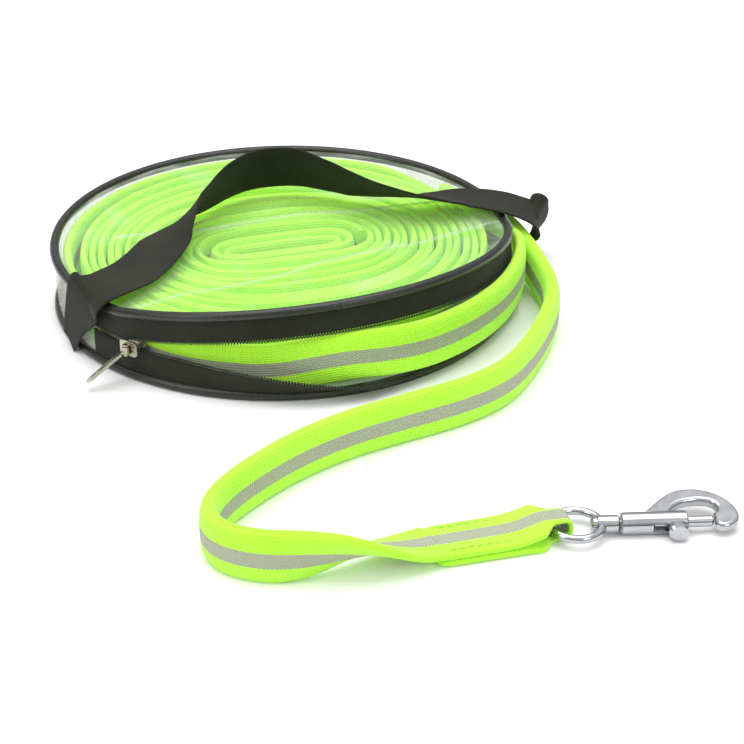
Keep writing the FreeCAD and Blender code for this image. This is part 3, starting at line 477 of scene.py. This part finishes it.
TAIL_ROUTE = [
    (0.0935, 0.0715), (0.1115, 0.052), (0.124, 0.031), (0.133, 0.008), (0.1395, -0.014),
    (0.1425, -0.038), (0.1395, -0.061), (0.131, -0.086), (0.120, -0.111), (0.106, -0.134),
    (0.084, -0.151), (0.054, -0.165), (0.027, -0.1785), (0.003, -0.1965), (-0.0155, -0.216),
    (-0.029, -0.234), (-0.0355, -0.250), (-0.0315, -0.2655), (-0.017, -0.275), (0.004, -0.2775),
    (0.025, -0.2745), (0.044, -0.2675), (0.061, -0.2595),
]
LINE_WIDTH = 0.025
FREE_THICKNESS, FLAT_THICKNESS = 0.0088, 0.0036
START_HEIGHT = 0.0072
DESCENT_START, DESCENT_LENGTH = 0.052, 0.062
TWIST_LENGTH = 0.075
KNIT_PITCH, TWILL_PITCH = 0.0026, 0.0017
STRIPE_INSIDE, STRIPE_OUTSIDE = 0.0038, 0.0041


def standing_height(distance, whole):
    """Height of the strap's middle after a distance along it, and how far it has turned flat, from 0 to 1."""
    flat = smooth_step(1.0 - (whole - distance) / TWIST_LENGTH)
    turn = np.pi / 2.0 * flat
    drop = smooth_step((distance - DESCENT_START) / DESCENT_LENGTH)
    thickness = FREE_THICKNESS + (FLAT_THICKNESS - FREE_THICKNESS) * flat
    height = LINE_WIDTH / 2.0 * np.cos(turn) + thickness / 2.0 * np.sin(turn)
    return START_HEIGHT * (1.0 - drop) + height + FLAT_THICKNESS * flat, flat, thickness


def nurbs_points(name, route):
    """Points along the smooth curve that has the route's points as its control points."""
    data = bpy.data.curves.new(name, "CURVE")
    data.dimensions = "3D"
    data.resolution_u = 12
    spline = data.splines.new("NURBS")
    spline.points.add(len(route) - 1)
    for point, place in zip(spline.points, route):
        point.co = (*place, 1.0)
    spline.order_u = 3
    spline.use_endpoint_u = True
    holder = bpy.data.objects.new(name, data)
    mesh = bpy.data.meshes.new_from_object(holder)
    points = np.array([v.co[:] for v in mesh.vertices])
    bpy.data.objects.remove(holder)
    bpy.data.curves.remove(data)
    bpy.data.meshes.remove(mesh)
    return points


def line_webbing():
    """Neon tubular webbing: fine diagonal knit with a faint painted glow from emission, and a grey stripe of
    reflective yarn where the profile's X is small, hatched by the twill that holds it."""
    made, tree, shader = new_material(
        "neon_line_webbing", Roughness=0.75, Sheen_Weight=0.2, Sheen_Roughness=0.6
    )
    shader.inputs["Specular IOR Level"].default_value = 0.2
    uv = node(tree, "SeparateXYZ", {0: node(tree, "UVMap", uv_map="run").outputs[0]})
    run, side = uv.outputs[0], uv.outputs[1]
    slant = node(tree, "Math", {0: run, 1: side}, operation="ADD").outputs[0]
    back = node(tree, "Math", {0: run, 1: side}, operation="SUBTRACT").outputs[0]
    left_rows, right_rows = sine_of(tree, slant, KNIT_PITCH), sine_of(tree, back, KNIT_PITCH)
    knit = node(tree, "Math", {0: left_rows, 1: right_rows}, operation="MULTIPLY").outputs[0]
    place = node(tree, "TexCoord").outputs["Object"]
    fuzz = node(tree, "TexNoise", {"Vector": place, "Scale": 900.0, "Detail": 3.0}).outputs[0]
    fade = node(tree, "TexNoise", {"Vector": place, "Scale": 22.0, "Detail": 3.0}).outputs[0]
    neon_deep, neon_bright = (0.36, 0.84, 0.02), (0.52, 0.97, 0.05)
    mixed = node(tree, "Math", {0: knit, 1: 0.4, 2: fade}, operation="MULTIPLY_ADD", use_clamp=True)
    neon = between(tree, mixed.outputs[0], neon_deep, neon_bright)
    ribs = sine_of(tree, slant, TWILL_PITCH)
    twill = node(tree, "Math", {0: ribs, 1: 0.5, 2: 0.5}, operation="MULTIPLY_ADD").outputs[0]
    grey = between(tree, twill, (0.30, 0.34, 0.22), (0.47, 0.50, 0.38))
    off = node(tree, "Math", {0: side}, operation="ABSOLUTE").outputs[0]
    ragged = node(tree, "Math", {0: fuzz, 1: 0.0004, 2: off}, operation="MULTIPLY_ADD").outputs[0]
    stripe_range = {0: ragged, 1: STRIPE_OUTSIDE, 2: STRIPE_INSIDE, 3: 0.0, 4: 1.0}
    in_stripe = node(tree, "MapRange", stripe_range).outputs[0]
    colour = node(tree, "Mix", {0: in_stripe, 6: neon, 7: grey}, data_type="RGBA").outputs[2]
    tree.links.new(colour, shader.inputs["Base Color"])
    # Painted glow: off the stripe the webbing emits its own colour at strength 0.1, though it is no lamp.
    painted_glow = node(tree, "MapRange", {0: in_stripe, 3: 0.10, 4: 0.0}).outputs[0]
    tree.links.new(colour, shader.inputs["Emission Color"])
    tree.links.new(painted_glow, shader.inputs["Emission Strength"])
    raised = node(tree, "Math", {0: fuzz, 1: 0.8, 2: knit}, operation="MULTIPLY_ADD").outputs[0]
    feed_bump(tree, shader, raised, 0.6, 0.0004)
    return made


neon_webbing = line_webbing()
flat_route = [(x, y, 0.0) for x, y in TAIL_ROUTE]
tail_plan = nurbs_points("tail_route", flat_route)
tail_run = np.concatenate([[0.0], np.cumsum(np.linalg.norm(np.diff(tail_plan, axis=0), axis=1))])
tail_height, tail_flat, tail_thickness = standing_height(tail_run, tail_run[-1])
tail_line = tail_plan + upright * tail_height[:, None]
tail_along = unit(np.gradient(tail_plan, axis=0))
tail_side = np.cross(tail_along, upright)
tail_turn = (np.pi / 2.0 * tail_flat)[:, None]
tail_across = upright * np.cos(tail_turn) + tail_side * np.sin(tail_turn)
plump = 0.7 - 0.25 * tail_flat


def plump_profile(width, thickness, squareness, around=32):
    """Section of filled webbing: x = w/2 c |c|^(e-1), y = h/2 s |s|^(e-1), with e from 1, round, to 0,
    square."""
    turn = np.linspace(0.0, 2.0 * np.pi, around, endpoint=False)
    c, s = np.cos(turn), np.sin(turn)
    sizes = np.broadcast_arrays(width, thickness, squareness)
    width, thickness, e = (np.asarray(size, float)[..., None] for size in sizes)
    x = np.sign(c) * np.abs(c) ** e * width / 2.0
    y = np.sign(s) * np.abs(s) ** e * thickness / 2.0
    return np.stack([x, y], axis=-1)


tail = carry_profile(
    "line_tail_webbing", tail_line, tail_across, plump_profile(LINE_WIDTH, tail_thickness, plump), "root"
)
tail.data.materials.append(neon_webbing)
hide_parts("line_tail")

# ---------------------------------------------------------------- line wound in the bag
# The rest of the same line stands on edge in a spiral, from an oval core to the bag's wall, 14 turns.
# Its rounded upper edges make the rings seen through the lid.

COIL_LOW = 0.0012
COIL_WIDTH = 0.026
CORE_HALF_RUN, CORE_RADIUS = 0.027, 0.016
COIL_RADIUS = 0.1129
COIL_TURNS, STEPS_A_TURN = 14, 96
COIL_MARGIN = 0.003
COIL_RAISE, OUTER_RAISE = 0.0038, 0.0014
PACKING = 0.96
WOUND_WIDTH = COIL_WIDTH - 0.001
CORE_TURN = math.radians(14.0)
OVAL_EASE = 0.12


def oval_point(angles, half_run, radius):
    """Oval round the core, turned by its angle: radius times (cos, sin), plus the half run times
    c / sqrt(c^2 + ease) lengthwise."""
    c, s = np.cos(angles), np.sin(angles)
    x = radius * c + half_run * c / np.sqrt(c * c + OVAL_EASE)
    y = radius * s
    return np.stack([x * math.cos(CORE_TURN) - y * math.sin(CORE_TURN),
                     x * math.sin(CORE_TURN) + y * math.cos(CORE_TURN)], axis=-1)


coil_turn = np.linspace(0.0, 2.0 * np.pi * COIL_TURNS, COIL_TURNS * STEPS_A_TURN)
coil_share = coil_turn / coil_turn[-1]
first_radius, last_radius = CORE_RADIUS + COIL_MARGIN, COIL_RADIUS - COIL_MARGIN
coil_radius = first_radius + (last_radius - first_radius) * coil_share
coil_run = CORE_HALF_RUN * (1.0 - coil_share)
sway = 0.0006 * np.sin(coil_turn * 2.3 + 5.0 * coil_share) * np.sin(np.pi * coil_share)
coil_plan = oval_point(coil_turn, coil_run, coil_radius + sway)
side_pitch = (last_radius - first_radius) / COIL_TURNS
end_pitch = side_pitch - CORE_HALF_RUN / COIL_TURNS
cosine = np.abs(np.cos(coil_turn))
coil_thickness = PACKING * (side_pitch + (end_pitch - side_pitch) * cosine)
coil_lift = 0.0011 * np.sin(coil_turn * 0.37 + 1.0) + 0.0007 * np.sin(coil_turn * 1.61)
coil_height = COIL_LOW + COIL_WIDTH / 2.0 + COIL_RAISE + OUTER_RAISE * coil_share + coil_lift
coil_line = np.concatenate([coil_plan, coil_height[:, None]], axis=1)
coil = carry_profile(
    "line_coil_turns", coil_line, np.tile(upright, (len(coil_line), 1)),
    plump_profile(WOUND_WIDTH, coil_thickness, 0.55, 20), "root",
)
coil.data.materials.append(neon_webbing)
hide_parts("line_coil")
coil_length = float(np.linalg.norm(np.diff(coil_line, axis=0), axis=1).sum())

# ---------------------------------------------------------------- hand loop
# The line's inner end is sewn back on itself into a loop for the hand, of the same webbing, and is
# pressed into an oval in the coil's core.

LOOP_RADIUS = 0.0122
LOOP_THICKNESS = 0.0053
LOOP_RAISE = 0.003
LOOP_STEPS = 120
loop_angles = np.linspace(0.0, 2.0 * np.pi, LOOP_STEPS, endpoint=False)
loop_upright = np.tile(upright, (LOOP_STEPS, 1))
loop_plan = oval_point(loop_angles, CORE_HALF_RUN, LOOP_RADIUS)
loop_height = np.full((LOOP_STEPS, 1), COIL_LOW + COIL_WIDTH / 2.0 + LOOP_RAISE)
hand_loop = carry_profile(
    "hand_loop_webbing", np.concatenate([loop_plan, loop_height], axis=1), loop_upright,
    plump_profile(WOUND_WIDTH, LOOP_THICKNESS, 0.55, 20), "root", closed=True,
)
hand_loop.data.materials.append(neon_webbing)
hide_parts("hand_loop")

# The loop is doubled: its inner turn fills the core, a little lower than the outer one.
INNER_RADIUS, INNER_HALF_RUN, INNER_RAISE = 0.0066, 0.0262, 0.0015
inner_plan = oval_point(loop_angles, INNER_HALF_RUN, INNER_RADIUS)
inner_height = np.full((LOOP_STEPS, 1), COIL_LOW + COIL_WIDTH / 2.0 + INNER_RAISE)
inner_loop = carry_profile(
    "hand_loop_inner_turn", np.concatenate([inner_plan, inner_height], axis=1), loop_upright,
    plump_profile(WOUND_WIDTH, LOOP_THICKNESS, 0.6, 20), "root", closed=True,
)
inner_loop.data.materials.append(neon_webbing)

# ---------------------------------------------------------------- last turn
# The outermost turn climbs over the lower tape and bulges out through the open zip, stripe outwards.
# It is the same webbing, held in only by the bag.

LAST_RADIUS, LAST_BULGE = 0.11595, 0.0130
LAST_START, LAST_END = 38.7, 384.0
LAST_CLIMB, PASSING_CLIMB, REAR_CLIMB = 0.0083, 0.00515, 0.0055
LAST_THICKNESS, BULGE_THICKENING = 0.0056, 0.0012
# Each change round the bag: the angle where it starts, and the degrees that it takes.
BULGE_OUT, BULGE_BACK = (262.0, 45.0), (357.0, 24.0)
CLIMB_UP, PASSING_DROP = (262.0, 26.0), (345.0, 17.0)
REAR_UP, REAR_DOWN = (38.0, 25.0), (212.0, 34.0)
last_angles = np.linspace(LAST_START, LAST_END, 260)
bulge = ramp(last_angles, *BULGE_OUT) * (1.0 - ramp(last_angles, *BULGE_BACK))
climb = LAST_CLIMB + (PASSING_CLIMB - LAST_CLIMB) * ramp(last_angles, *PASSING_DROP)
climb = climb * ramp(last_angles, *CLIMB_UP)
climb += REAR_CLIMB * ramp(last_angles, *REAR_UP) * (1.0 - ramp(last_angles, *REAR_DOWN))
last_line = ring_points(last_angles, LAST_RADIUS + LAST_BULGE * bulge, COIL_LOW + climb + COIL_WIDTH / 2.0)
last_thickness = LAST_THICKNESS + BULGE_THICKENING * bulge
last_turn = carry_profile(
    "line_last_turn", last_line, np.tile(upright, (len(last_line), 1)),
    plump_profile(COIL_WIDTH, last_thickness, 0.5), "root",
)
last_turn.data.materials.append(neon_webbing)
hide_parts("line_outer_turn")

# ---------------------------------------------------------------- sewn loop for the snap
# The line's end goes round the wire of the swivel eye and back under itself, where a row of stitches
# along each side holds the two layers. It is gathered where it passes through the ring.

EYE_POINT = np.array([0.1127, -0.2485, 0.0052])
LOOP_START = np.array([0.061, -0.2595, 0.0])
LAYER = 0.0036
LOOP_OVERLAP = 0.006
RING_WIDTH, RING_THINNING = 0.0112, 0.0016
GATHER_BEFORE, GATHER_OVER = 0.0075, 0.0085
END_ROUNDING, END_FLOOR, END_WIDTH = 0.006, 0.06, 0.55
START_WIDTH, START_THICKNESS = 0.92, 0.7
loop_axis = unit((EYE_POINT - LOOP_START) * [1.0, 1.0, 0.0])
loop_left = np.cross(upright, loop_axis)
loop_reach = float(np.linalg.norm((EYE_POINT - LOOP_START)[:2]))
LOOP_ROUTE = [
    # along the line from the eye's wire, height from its middle
    (-loop_reach - LOOP_OVERLAP, -0.0004), (-0.042, -0.0001), (-0.030, 0.0), (-0.018, 0.0003),
    (-0.010, 0.0022), (-0.004, 0.0044), (0.0014, 0.0046), (0.0068, 0.0044),
    (0.0084, 0.0), (0.0068, -0.0044), (0.0014, -0.0044), (-0.005, -0.0040),
    (-0.014, -0.0033), (-0.026, -0.0033), (-0.040, -0.0033), (-loop_reach - 0.002, -0.0033),
]
loop_route = [tuple(EYE_POINT + loop_axis * along + upright * up) for along, up in LOOP_ROUTE]
snap_line = nurbs_points("snap_loop_route", loop_route)
loop_along = (snap_line - EYE_POINT) @ loop_axis
gather = smooth_step((loop_along + GATHER_BEFORE) / GATHER_OVER)
end_run = np.linalg.norm(snap_line - snap_line[-1], axis=1)
end_share = np.clip(end_run / END_ROUNDING, 0.0, 1.0)
rounded_end = np.sqrt(np.clip(1.0 - (1.0 - end_share) ** 2, END_FLOOR, 1.0))
hidden_start = smooth_step(np.linalg.norm(snap_line - snap_line[0], axis=1) / LOOP_OVERLAP)
snap_width = (LINE_WIDTH - (LINE_WIDTH - RING_WIDTH) * gather) * (END_WIDTH + (1.0 - END_WIDTH) * rounded_end)
snap_width *= START_WIDTH + (1.0 - START_WIDTH) * hidden_start
snap_thickness = (LAYER - RING_THINNING * gather) * rounded_end
snap_thickness *= START_THICKNESS + (1.0 - START_THICKNESS) * hidden_start
snap_loop = carry_profile(
    "snap_loop_webbing", snap_line, np.tile(-loop_left, (len(snap_line), 1)),
    plump_profile(snap_width, snap_thickness, 0.5), "root",
)
snap_loop.data.materials.append(neon_webbing)
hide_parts("snap_loop")


def thread():
    """Waxed neon sewing thread with a fine twist."""
    made, tree, shader = new_material("neon_thread", Roughness=0.5)
    place = node(tree, "TexCoord").outputs["Object"]
    waves = {"Vector": place, "Scale": 900.0, "Distortion": 0.4}
    twist = node(tree, "TexWave", waves, bands_direction="DIAGONAL").outputs[1]
    green = between(tree, twist, (0.26, 0.58, 0.03), (0.42, 0.8, 0.06))
    tree.links.new(green, shader.inputs["Base Color"])
    feed_bump(tree, shader, twist, 0.3, 0.0002)
    return made


neon_thread = thread()
STITCHES, STITCH_PITCH, STITCH_LENGTH = 9, 0.0040, 0.0030
FIRST_STITCH, ROW_OFFSET = -0.047, 0.0088
STITCH_SEAT, STITCH_HUMP, THREAD_RADIUS = 0.00135, 0.0005, 0.00034
STATIONS, THREAD_SIDES = 9, 8
stitch_share = np.linspace(-1.0, 1.0, STATIONS)
stitch_ring = np.linspace(0.0, 2.0 * np.pi, THREAD_SIDES, endpoint=False)[:, None]
thread_swell = THREAD_RADIUS * (1.0 - 0.6 * stitch_share ** 4)[:, None, None]
i, j = np.meshgrid(np.arange(STATIONS - 1), np.arange(THREAD_SIDES), indexing="ij")
i, j = i.ravel() * THREAD_SIDES, j.ravel()
beside = (j + 1) % THREAD_SIDES
stitch_quads = np.stack([i + j, i + THREAD_SIDES + j, i + THREAD_SIDES + beside, i + beside], axis=1)
stitch_ends = np.stack([np.arange(THREAD_SIDES), STATIONS * THREAD_SIDES - 1 - np.arange(THREAD_SIDES)])
stitch_parts, stitch_faces = [], []
for number in range(STITCHES):
    for side in (-1.0, 1.0):
        along = FIRST_STITCH + number * STITCH_PITCH + stitch_share * STITCH_LENGTH / 2.0
        height = STITCH_SEAT + STITCH_HUMP * np.sqrt(1.0 - stitch_share ** 2)
        middle = EYE_POINT + loop_axis * along[:, None] + loop_left * side * ROW_OFFSET
        middle = middle + upright * height[:, None]
        tube = loop_left * np.cos(stitch_ring) + upright * np.sin(stitch_ring)
        start = len(stitch_parts) * STATIONS * THREAD_SIDES
        stitch_faces += (start + stitch_quads).tolist() + (start + stitch_ends).tolist()
        stitch_parts.append((middle[:, None] + thread_swell * tube).reshape(-1, 3))
stitching = new_object("loop_stitches", np.concatenate(stitch_parts), stitch_faces, "root")
stitching.data.materials.append(neon_thread)
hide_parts("loop_stitching")

# ---------------------------------------------------------------- lid piping
# The same corded black vinyl goes round the lid, sewn to the film's edge. It bends where the front of
# the lid is lifted by the line.


def across_crease(piece):
    """Bake a lid piece's placing into its mesh; its bend at the crease is already in its points."""
    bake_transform(piece)


lid_ring = raise_flap(ring_points(ring_angles, CORD_RING, LID_HEIGHT))
lid_piping = carry_profile(
    "lid_piping_cord", lid_ring, -outward(ring_angles), piping_profile(0.0040), closed=True
)
lid_piping.data.materials.append(black_piping)
across_crease(lid_piping)
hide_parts("lid_piping_rear", "lid_piping_flap")

# ---------------------------------------------------------------- clear lid
# One round of clear vinyl, sewn into the piping. It has a long crease where its front is lifted, an
# older fold behind it, and soft dents all over.

LID_RADIUS = 0.1205
OLD_FOLD = [(-0.048, 0.008), (0.056, 0.030)]
FOLD_RISE, FOLD_WIDTH = 0.0016, 0.0022
CREASE_RISE, CREASE_WIDTH = 0.0010, 0.0016
CREASE_BAND = 0.012
EDGE_ROOM = 0.9996


def lid_sheet():
    """Rows along the crease: q from back to front, s across; x = s sqrt(R^2 - q^2). Height is a sum of slow
    waves that die out at the edge, plus two ridges exp(-(d/w)^2) at distance d from the crease and from the
    old fold. The rows are a millimetre apart near the crease."""
    near = np.linspace(-CREASE_BAND, CREASE_BAND, 25) + CREASE_OFFSET
    behind = np.linspace(-EDGE_ROOM * LID_RADIUS, CREASE_OFFSET - CREASE_BAND - 0.001, 84)
    ahead = np.linspace(CREASE_OFFSET + CREASE_BAND + 0.001, EDGE_ROOM * LID_RADIUS, 40)
    q, s = np.meshgrid(np.concatenate([behind, near, ahead]), np.linspace(-1.0, 1.0, 150), indexing="ij")
    x = s * np.sqrt(LID_RADIUS ** 2 - q ** 2)
    plan = x[..., None] * CREASE_ALONG[:2] + q[..., None] * CREASE_FRONT[:2]
    reach = np.hypot(x, q) / LID_RADIUS
    loose = np.clip(1.0 - reach ** 4, 0.0, 1.0)
    px, py = plan[..., 0], plan[..., 1]
    waves = 0.0011 * np.sin(52.0 * px + 31.0 * py + 0.7) + 0.0008 * np.sin(-38.0 * px + 74.0 * py + 2.1)
    waves += 0.0005 * np.sin(120.0 * px + 18.0 * py) * np.sin(95.0 * py - 1.0)
    turn = np.arctan2(py, px)
    puckers = 0.0007 * np.sin(31.0 * turn + 2.0 * np.sin(3.0 * turn)) * np.exp(-((reach - 0.93) / 0.05) ** 2)
    start, end = np.array(OLD_FOLD[0]), np.array(OLD_FOLD[1])
    fold_along = unit(end - start)
    off = (plan - start) @ np.array([-fold_along[1], fold_along[0]])
    run = (plan - start) @ fold_along / np.linalg.norm(end - start)
    ridge = FOLD_RISE * np.exp(-(off / FOLD_WIDTH) ** 2)
    ridge = ridge * smooth_step((run + 0.6) / 0.4) * smooth_step((1.7 - run) / 0.4)
    crease = CREASE_RISE * np.exp(-((q - CREASE_OFFSET) / CREASE_WIDTH) ** 2)
    height = LID_HEIGHT + loose * (waves + ridge + crease) + puckers * (reach < 1.0)
    rim = np.exp(-((reach - 1.0) / 0.022) ** 2) * (0.3 + 0.3 * np.sin(17.0 * turn + 1.0))
    fold = 0.9 * np.exp(-((q - CREASE_OFFSET) / 0.0007) ** 2) + rim
    fold += 0.7 * np.exp(-(off / 0.0011) ** 2) * (run > -0.4) * (run < 1.5)
    return raise_flap(np.concatenate([plan, height[..., None]], axis=-1)), grid_faces(*q.shape), fold


lid_points, lid_faces, lid_folds = lid_sheet()
lid = new_object("clear_lid", lid_points.reshape(-1, 3), lid_faces)
fold_values = lid.data.attributes.new("fold", "FLOAT", "POINT")
fold_values.data.foreach_set("value", lid_folds.ravel().astype(np.float32))
lid_thickness = lid.modifiers.new("thickness", "SOLIDIFY")
lid_thickness.thickness = 0.0005
lid_thickness.offset = 0.0
lid.data.materials.append(lid_vinyl)
across_crease(lid)
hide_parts("lid_film_rear", "lid_film_flap")

# ---------------------------------------------------------------- upper zip tape
# Black woven tape sewn under the lid piping, with its row of nylon coil along the lower edge.
# Its end is sewn down under the left end of the handle, and the rest lifts with the flap.

UPPER_TAPE_END = 362.0
UPPER_TAPE_LOW, UPPER_TAPE_HIGH = 0.0222, 0.0330
END_RISE, RISING = 0.006, (344.0, 18.0)
upper_angles = np.linspace(ZIP_START, UPPER_TAPE_END, 190)
band_low = UPPER_TAPE_LOW + END_RISE * ramp(upper_angles, *RISING)
band_middle = raise_flap(ring_points(upper_angles, CORD_RING, (band_low + UPPER_TAPE_HIGH) / 2.0))
low_ring, high_ring = (raise_flap(ring_points(upper_angles, CORD_RING, high)) for high in (0.04, 0.05))
flap_up = high_ring - low_ring
upper_tape = carry_profile(
    "upper_zip_tape_band", band_middle, flap_up, flat_profile(UPPER_TAPE_HIGH - band_low, 0.0012)
)
upper_tape.data.materials.append(zip_tape)
across_crease(upper_tape)
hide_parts("upper_zip_tape", "upper_tape_stitched_end")
upper_edge = raise_flap(ring_points(upper_angles, CORD_RING, band_low - COIL_PAST_TAPE))
upper_coil = zip_coil("upper_zip_coil", upper_edge, flap_up, None)
across_crease(upper_coil)
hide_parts("upper_zip_teeth")

# ---------------------------------------------------------------- carrying handle
# A loop of flat black webbing, 30 mm wide, sewn to the wall at its two ends. It has fallen back on
# the lid, flat at its ends and standing on its rear edge in the middle.

HANDLE_EDGES = [
    # front edge, rear edge, in millimetres, from the left end over the lid to the right end
    ((-107.6, -66.0, 3.6), (-114.4, -53.4, 3.6)), ((-100.9, -76.0, 20.0), (-112.0, -58.4, 20.0)),
    ((-92.6, -86.3, 33.0), (-110.0, -62.3, 33.0)), ((-87.0, -88.4, 38.6), (-106.8, -62.9, 39.2)),
    ((-78.0, -80.0, 39.4), (-97.0, -57.5, 39.8)), ((-68.5, -66.0, 37.8), (-87.5, -43.0, 38.0)),
    ((-61.0, -50.0, 37.8), (-79.0, -27.0, 37.8)), ((-56.5, -33.0, 38.8), (-70.8, -8.0, 37.8)),
    ((-55.0, -22.0, 40.4), (-66.0, 4.0, 37.4)), ((-52.5, -10.0, 45.0), (-58.0, 17.0, 37.2)),
    ((-49.5, 1.0, 50.0), (-49.0, 27.5, 37.0)), ((-43.5, 12.0, 54.0), (-41.0, 36.0, 37.0)),
    ((-29.0, 33.0, 61.0), (-26.0, 51.5, 37.0)), ((-13.0, 47.0, 64.0), (-12.0, 58.0, 37.0)),
    ((8.0, 48.5, 64.0), (8.0, 60.0, 37.0)), ((27.0, 36.5, 60.5), (25.0, 54.0, 37.0)),
    ((39.5, 26.5, 58.0), (38.0, 47.5, 37.0)), ((52.0, 19.0, 55.0), (51.0, 43.5, 37.2)),
    ((65.0, 14.0, 52.0), (66.0, 40.0, 37.6)), ((76.0, 12.0, 49.0), (78.0, 38.5, 38.2)),
    ((88.0, 13.0, 45.0), (91.0, 41.0, 38.4)), ((101.0, 15.5, 41.2), (104.0, 43.0, 39.4)),
    ((113.5, 12.5, 40.0), (118.0, 40.5, 39.6)), ((125.5, 7.0, 38.8), (132.0, 35.0, 38.2)),
    ((135.0, 4.5, 35.0), (144.5, 32.5, 34.0)), ((137.0, 12.5, 27.5), (148.0, 38.0, 25.5)),
    ((136.0, 20.0, 16.0), (147.0, 47.0, 14.0)), ((135.0, 24.0, 7.5), (139.5, 52.0, 6.5)),
    ((130.0, 27.0, 2.8), (125.0, 56.0, 2.8)), ((126.8, 28.0, 2.4), (117.0, 57.0, 2.4)),
]
LEFT_HALF_ROWS = 13
EASE_STEPS = 8
HANDLE_THICKNESS, HANDLE_HOLLOW = 0.0018, 0.0009
handle_webbing = woven_tape(
    "black_handle_webbing", (0.011, 0.012, 0.008), (0.028, 0.031, 0.021), 0.0015, 0.72
)


def eased(points, per=EASE_STEPS):
    """Smooth curve in metres through points in millimetres: cubic pieces, each leaving its point along the
    line between that point's neighbours."""
    points = np.asarray(points, float) / 1000.0
    slope = np.gradient(points, axis=0)
    t = np.linspace(0.0, 1.0, per, endpoint=False)[:, None, None]
    p0, p1, m0, m1 = points[:-1], points[1:], slope[:-1], slope[1:]
    curve = ((2 * t ** 3 - 3 * t ** 2 + 1) * p0 + (t ** 3 - 2 * t ** 2 + t) * m0
             + (3 * t ** 2 - 2 * t ** 3) * p1 + (t ** 3 - t ** 2) * m1)
    return np.concatenate([curve.transpose(1, 0, 2).reshape(-1, 3), points[-1:]])


handle_front, handle_rear = eased([e[0] for e in HANDLE_EDGES]), eased([e[1] for e in HANDLE_EDGES])
handle_along = np.gradient((handle_front + handle_rear) / 2.0, axis=0)


def handle_piece(name, rows):
    """Stretch of the webbing between its front and rear edge, a little hollow across its width."""
    front, rear = handle_front[rows], handle_rear[rows]
    width = np.linalg.norm(rear - front, axis=1)
    profile = flat_profile(width, HANDLE_THICKNESS, 0.4, 40)
    hollow = HANDLE_HOLLOW * (profile[..., 0] / (width[:, None] / 2.0)) ** 2
    profile = np.stack([profile[..., 0], profile[..., 1] + hollow], axis=-1)
    made = carry_profile(name, (front + rear) / 2.0, rear - front, profile, along=handle_along[rows])
    made.data.materials.append(handle_webbing)
    return made


handle_left = handle_piece("handle_left_half", slice(0, LEFT_HALF_ROWS * EASE_STEPS + 1))
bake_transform(handle_left)
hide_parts("handle_left_end", "handle_strap")
handle_right = handle_piece("handle_right_half", slice(LEFT_HALF_ROWS * EASE_STEPS, None))
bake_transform(handle_right)
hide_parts("handle_right_end")

# ---------------------------------------------------------------- zip slider
# Cast zinc slider with a flat pull tab on an upright pin, plated a warm silver. It runs on the two
# nylon coils.


def plated_metal(name, dark, light, rough):
    """Plated casting: bright metal with a slightly uneven surface; one noise makes it rougher in patches and
    darker in others, the darker patches a painted reflection of dark surroundings.
    """
    made, tree, shader = new_material(name, Metallic=1.0, Roughness=rough)
    place = node(tree, "TexCoord").outputs["Object"]
    dents_and_painted_reflection = node(tree, "TexNoise", {"Vector": place, "Scale": 160.0, "Detail": 4.0}).outputs[0]
    # Painted reflection: the base colour goes darker in random noise patches, standing in for dark
    # surroundings seen in the metal.
    tree.links.new(between(tree, dents_and_painted_reflection, dark, light), shader.inputs["Base Color"])
    tree.links.new(node(tree, "MapRange", {0: dents_and_painted_reflection, 3: rough * 0.7, 4: rough * 1.5}).outputs[0],
                   shader.inputs["Roughness"])
    feed_bump(tree, shader, dents_and_painted_reflection, 0.08, 0.0006)
    return made


slider_metal = plated_metal("slider_plating", (0.34, 0.32, 0.24), (0.56, 0.54, 0.43), 0.26)
for slider_node in ("slider_body", "slider_crown", "pull_tab"):
    dress(slider_node, slider_metal)

# ---------------------------------------------------------------- bolt snap
# Nickel-plated cast snap: swivel eye, barrel with a sprung bolt and a flat hook. The eye turns on a
# rivet in the barrel's end.

snap_metal = plated_metal("snap_plating", (0.36, 0.37, 0.39), (0.56, 0.57, 0.59), 0.14)
spring_metal = plated_metal("spring_steel_wire", (0.25, 0.25, 0.26), (0.4, 0.4, 0.42), 0.3)
for snap_node in ("swivel_eye", "snap_body", "swivel_rivet", "bolt", "thumb_knob"):
    dress(snap_node, snap_metal)
dress("bolt_spring", spring_metal)

# ---------------------------------------------------------------- sizes
# The coil's and tail's lengths in metres.

print("coil length", round(coil_length, 3), "tail length", round(float(tail_run[-1]), 3))
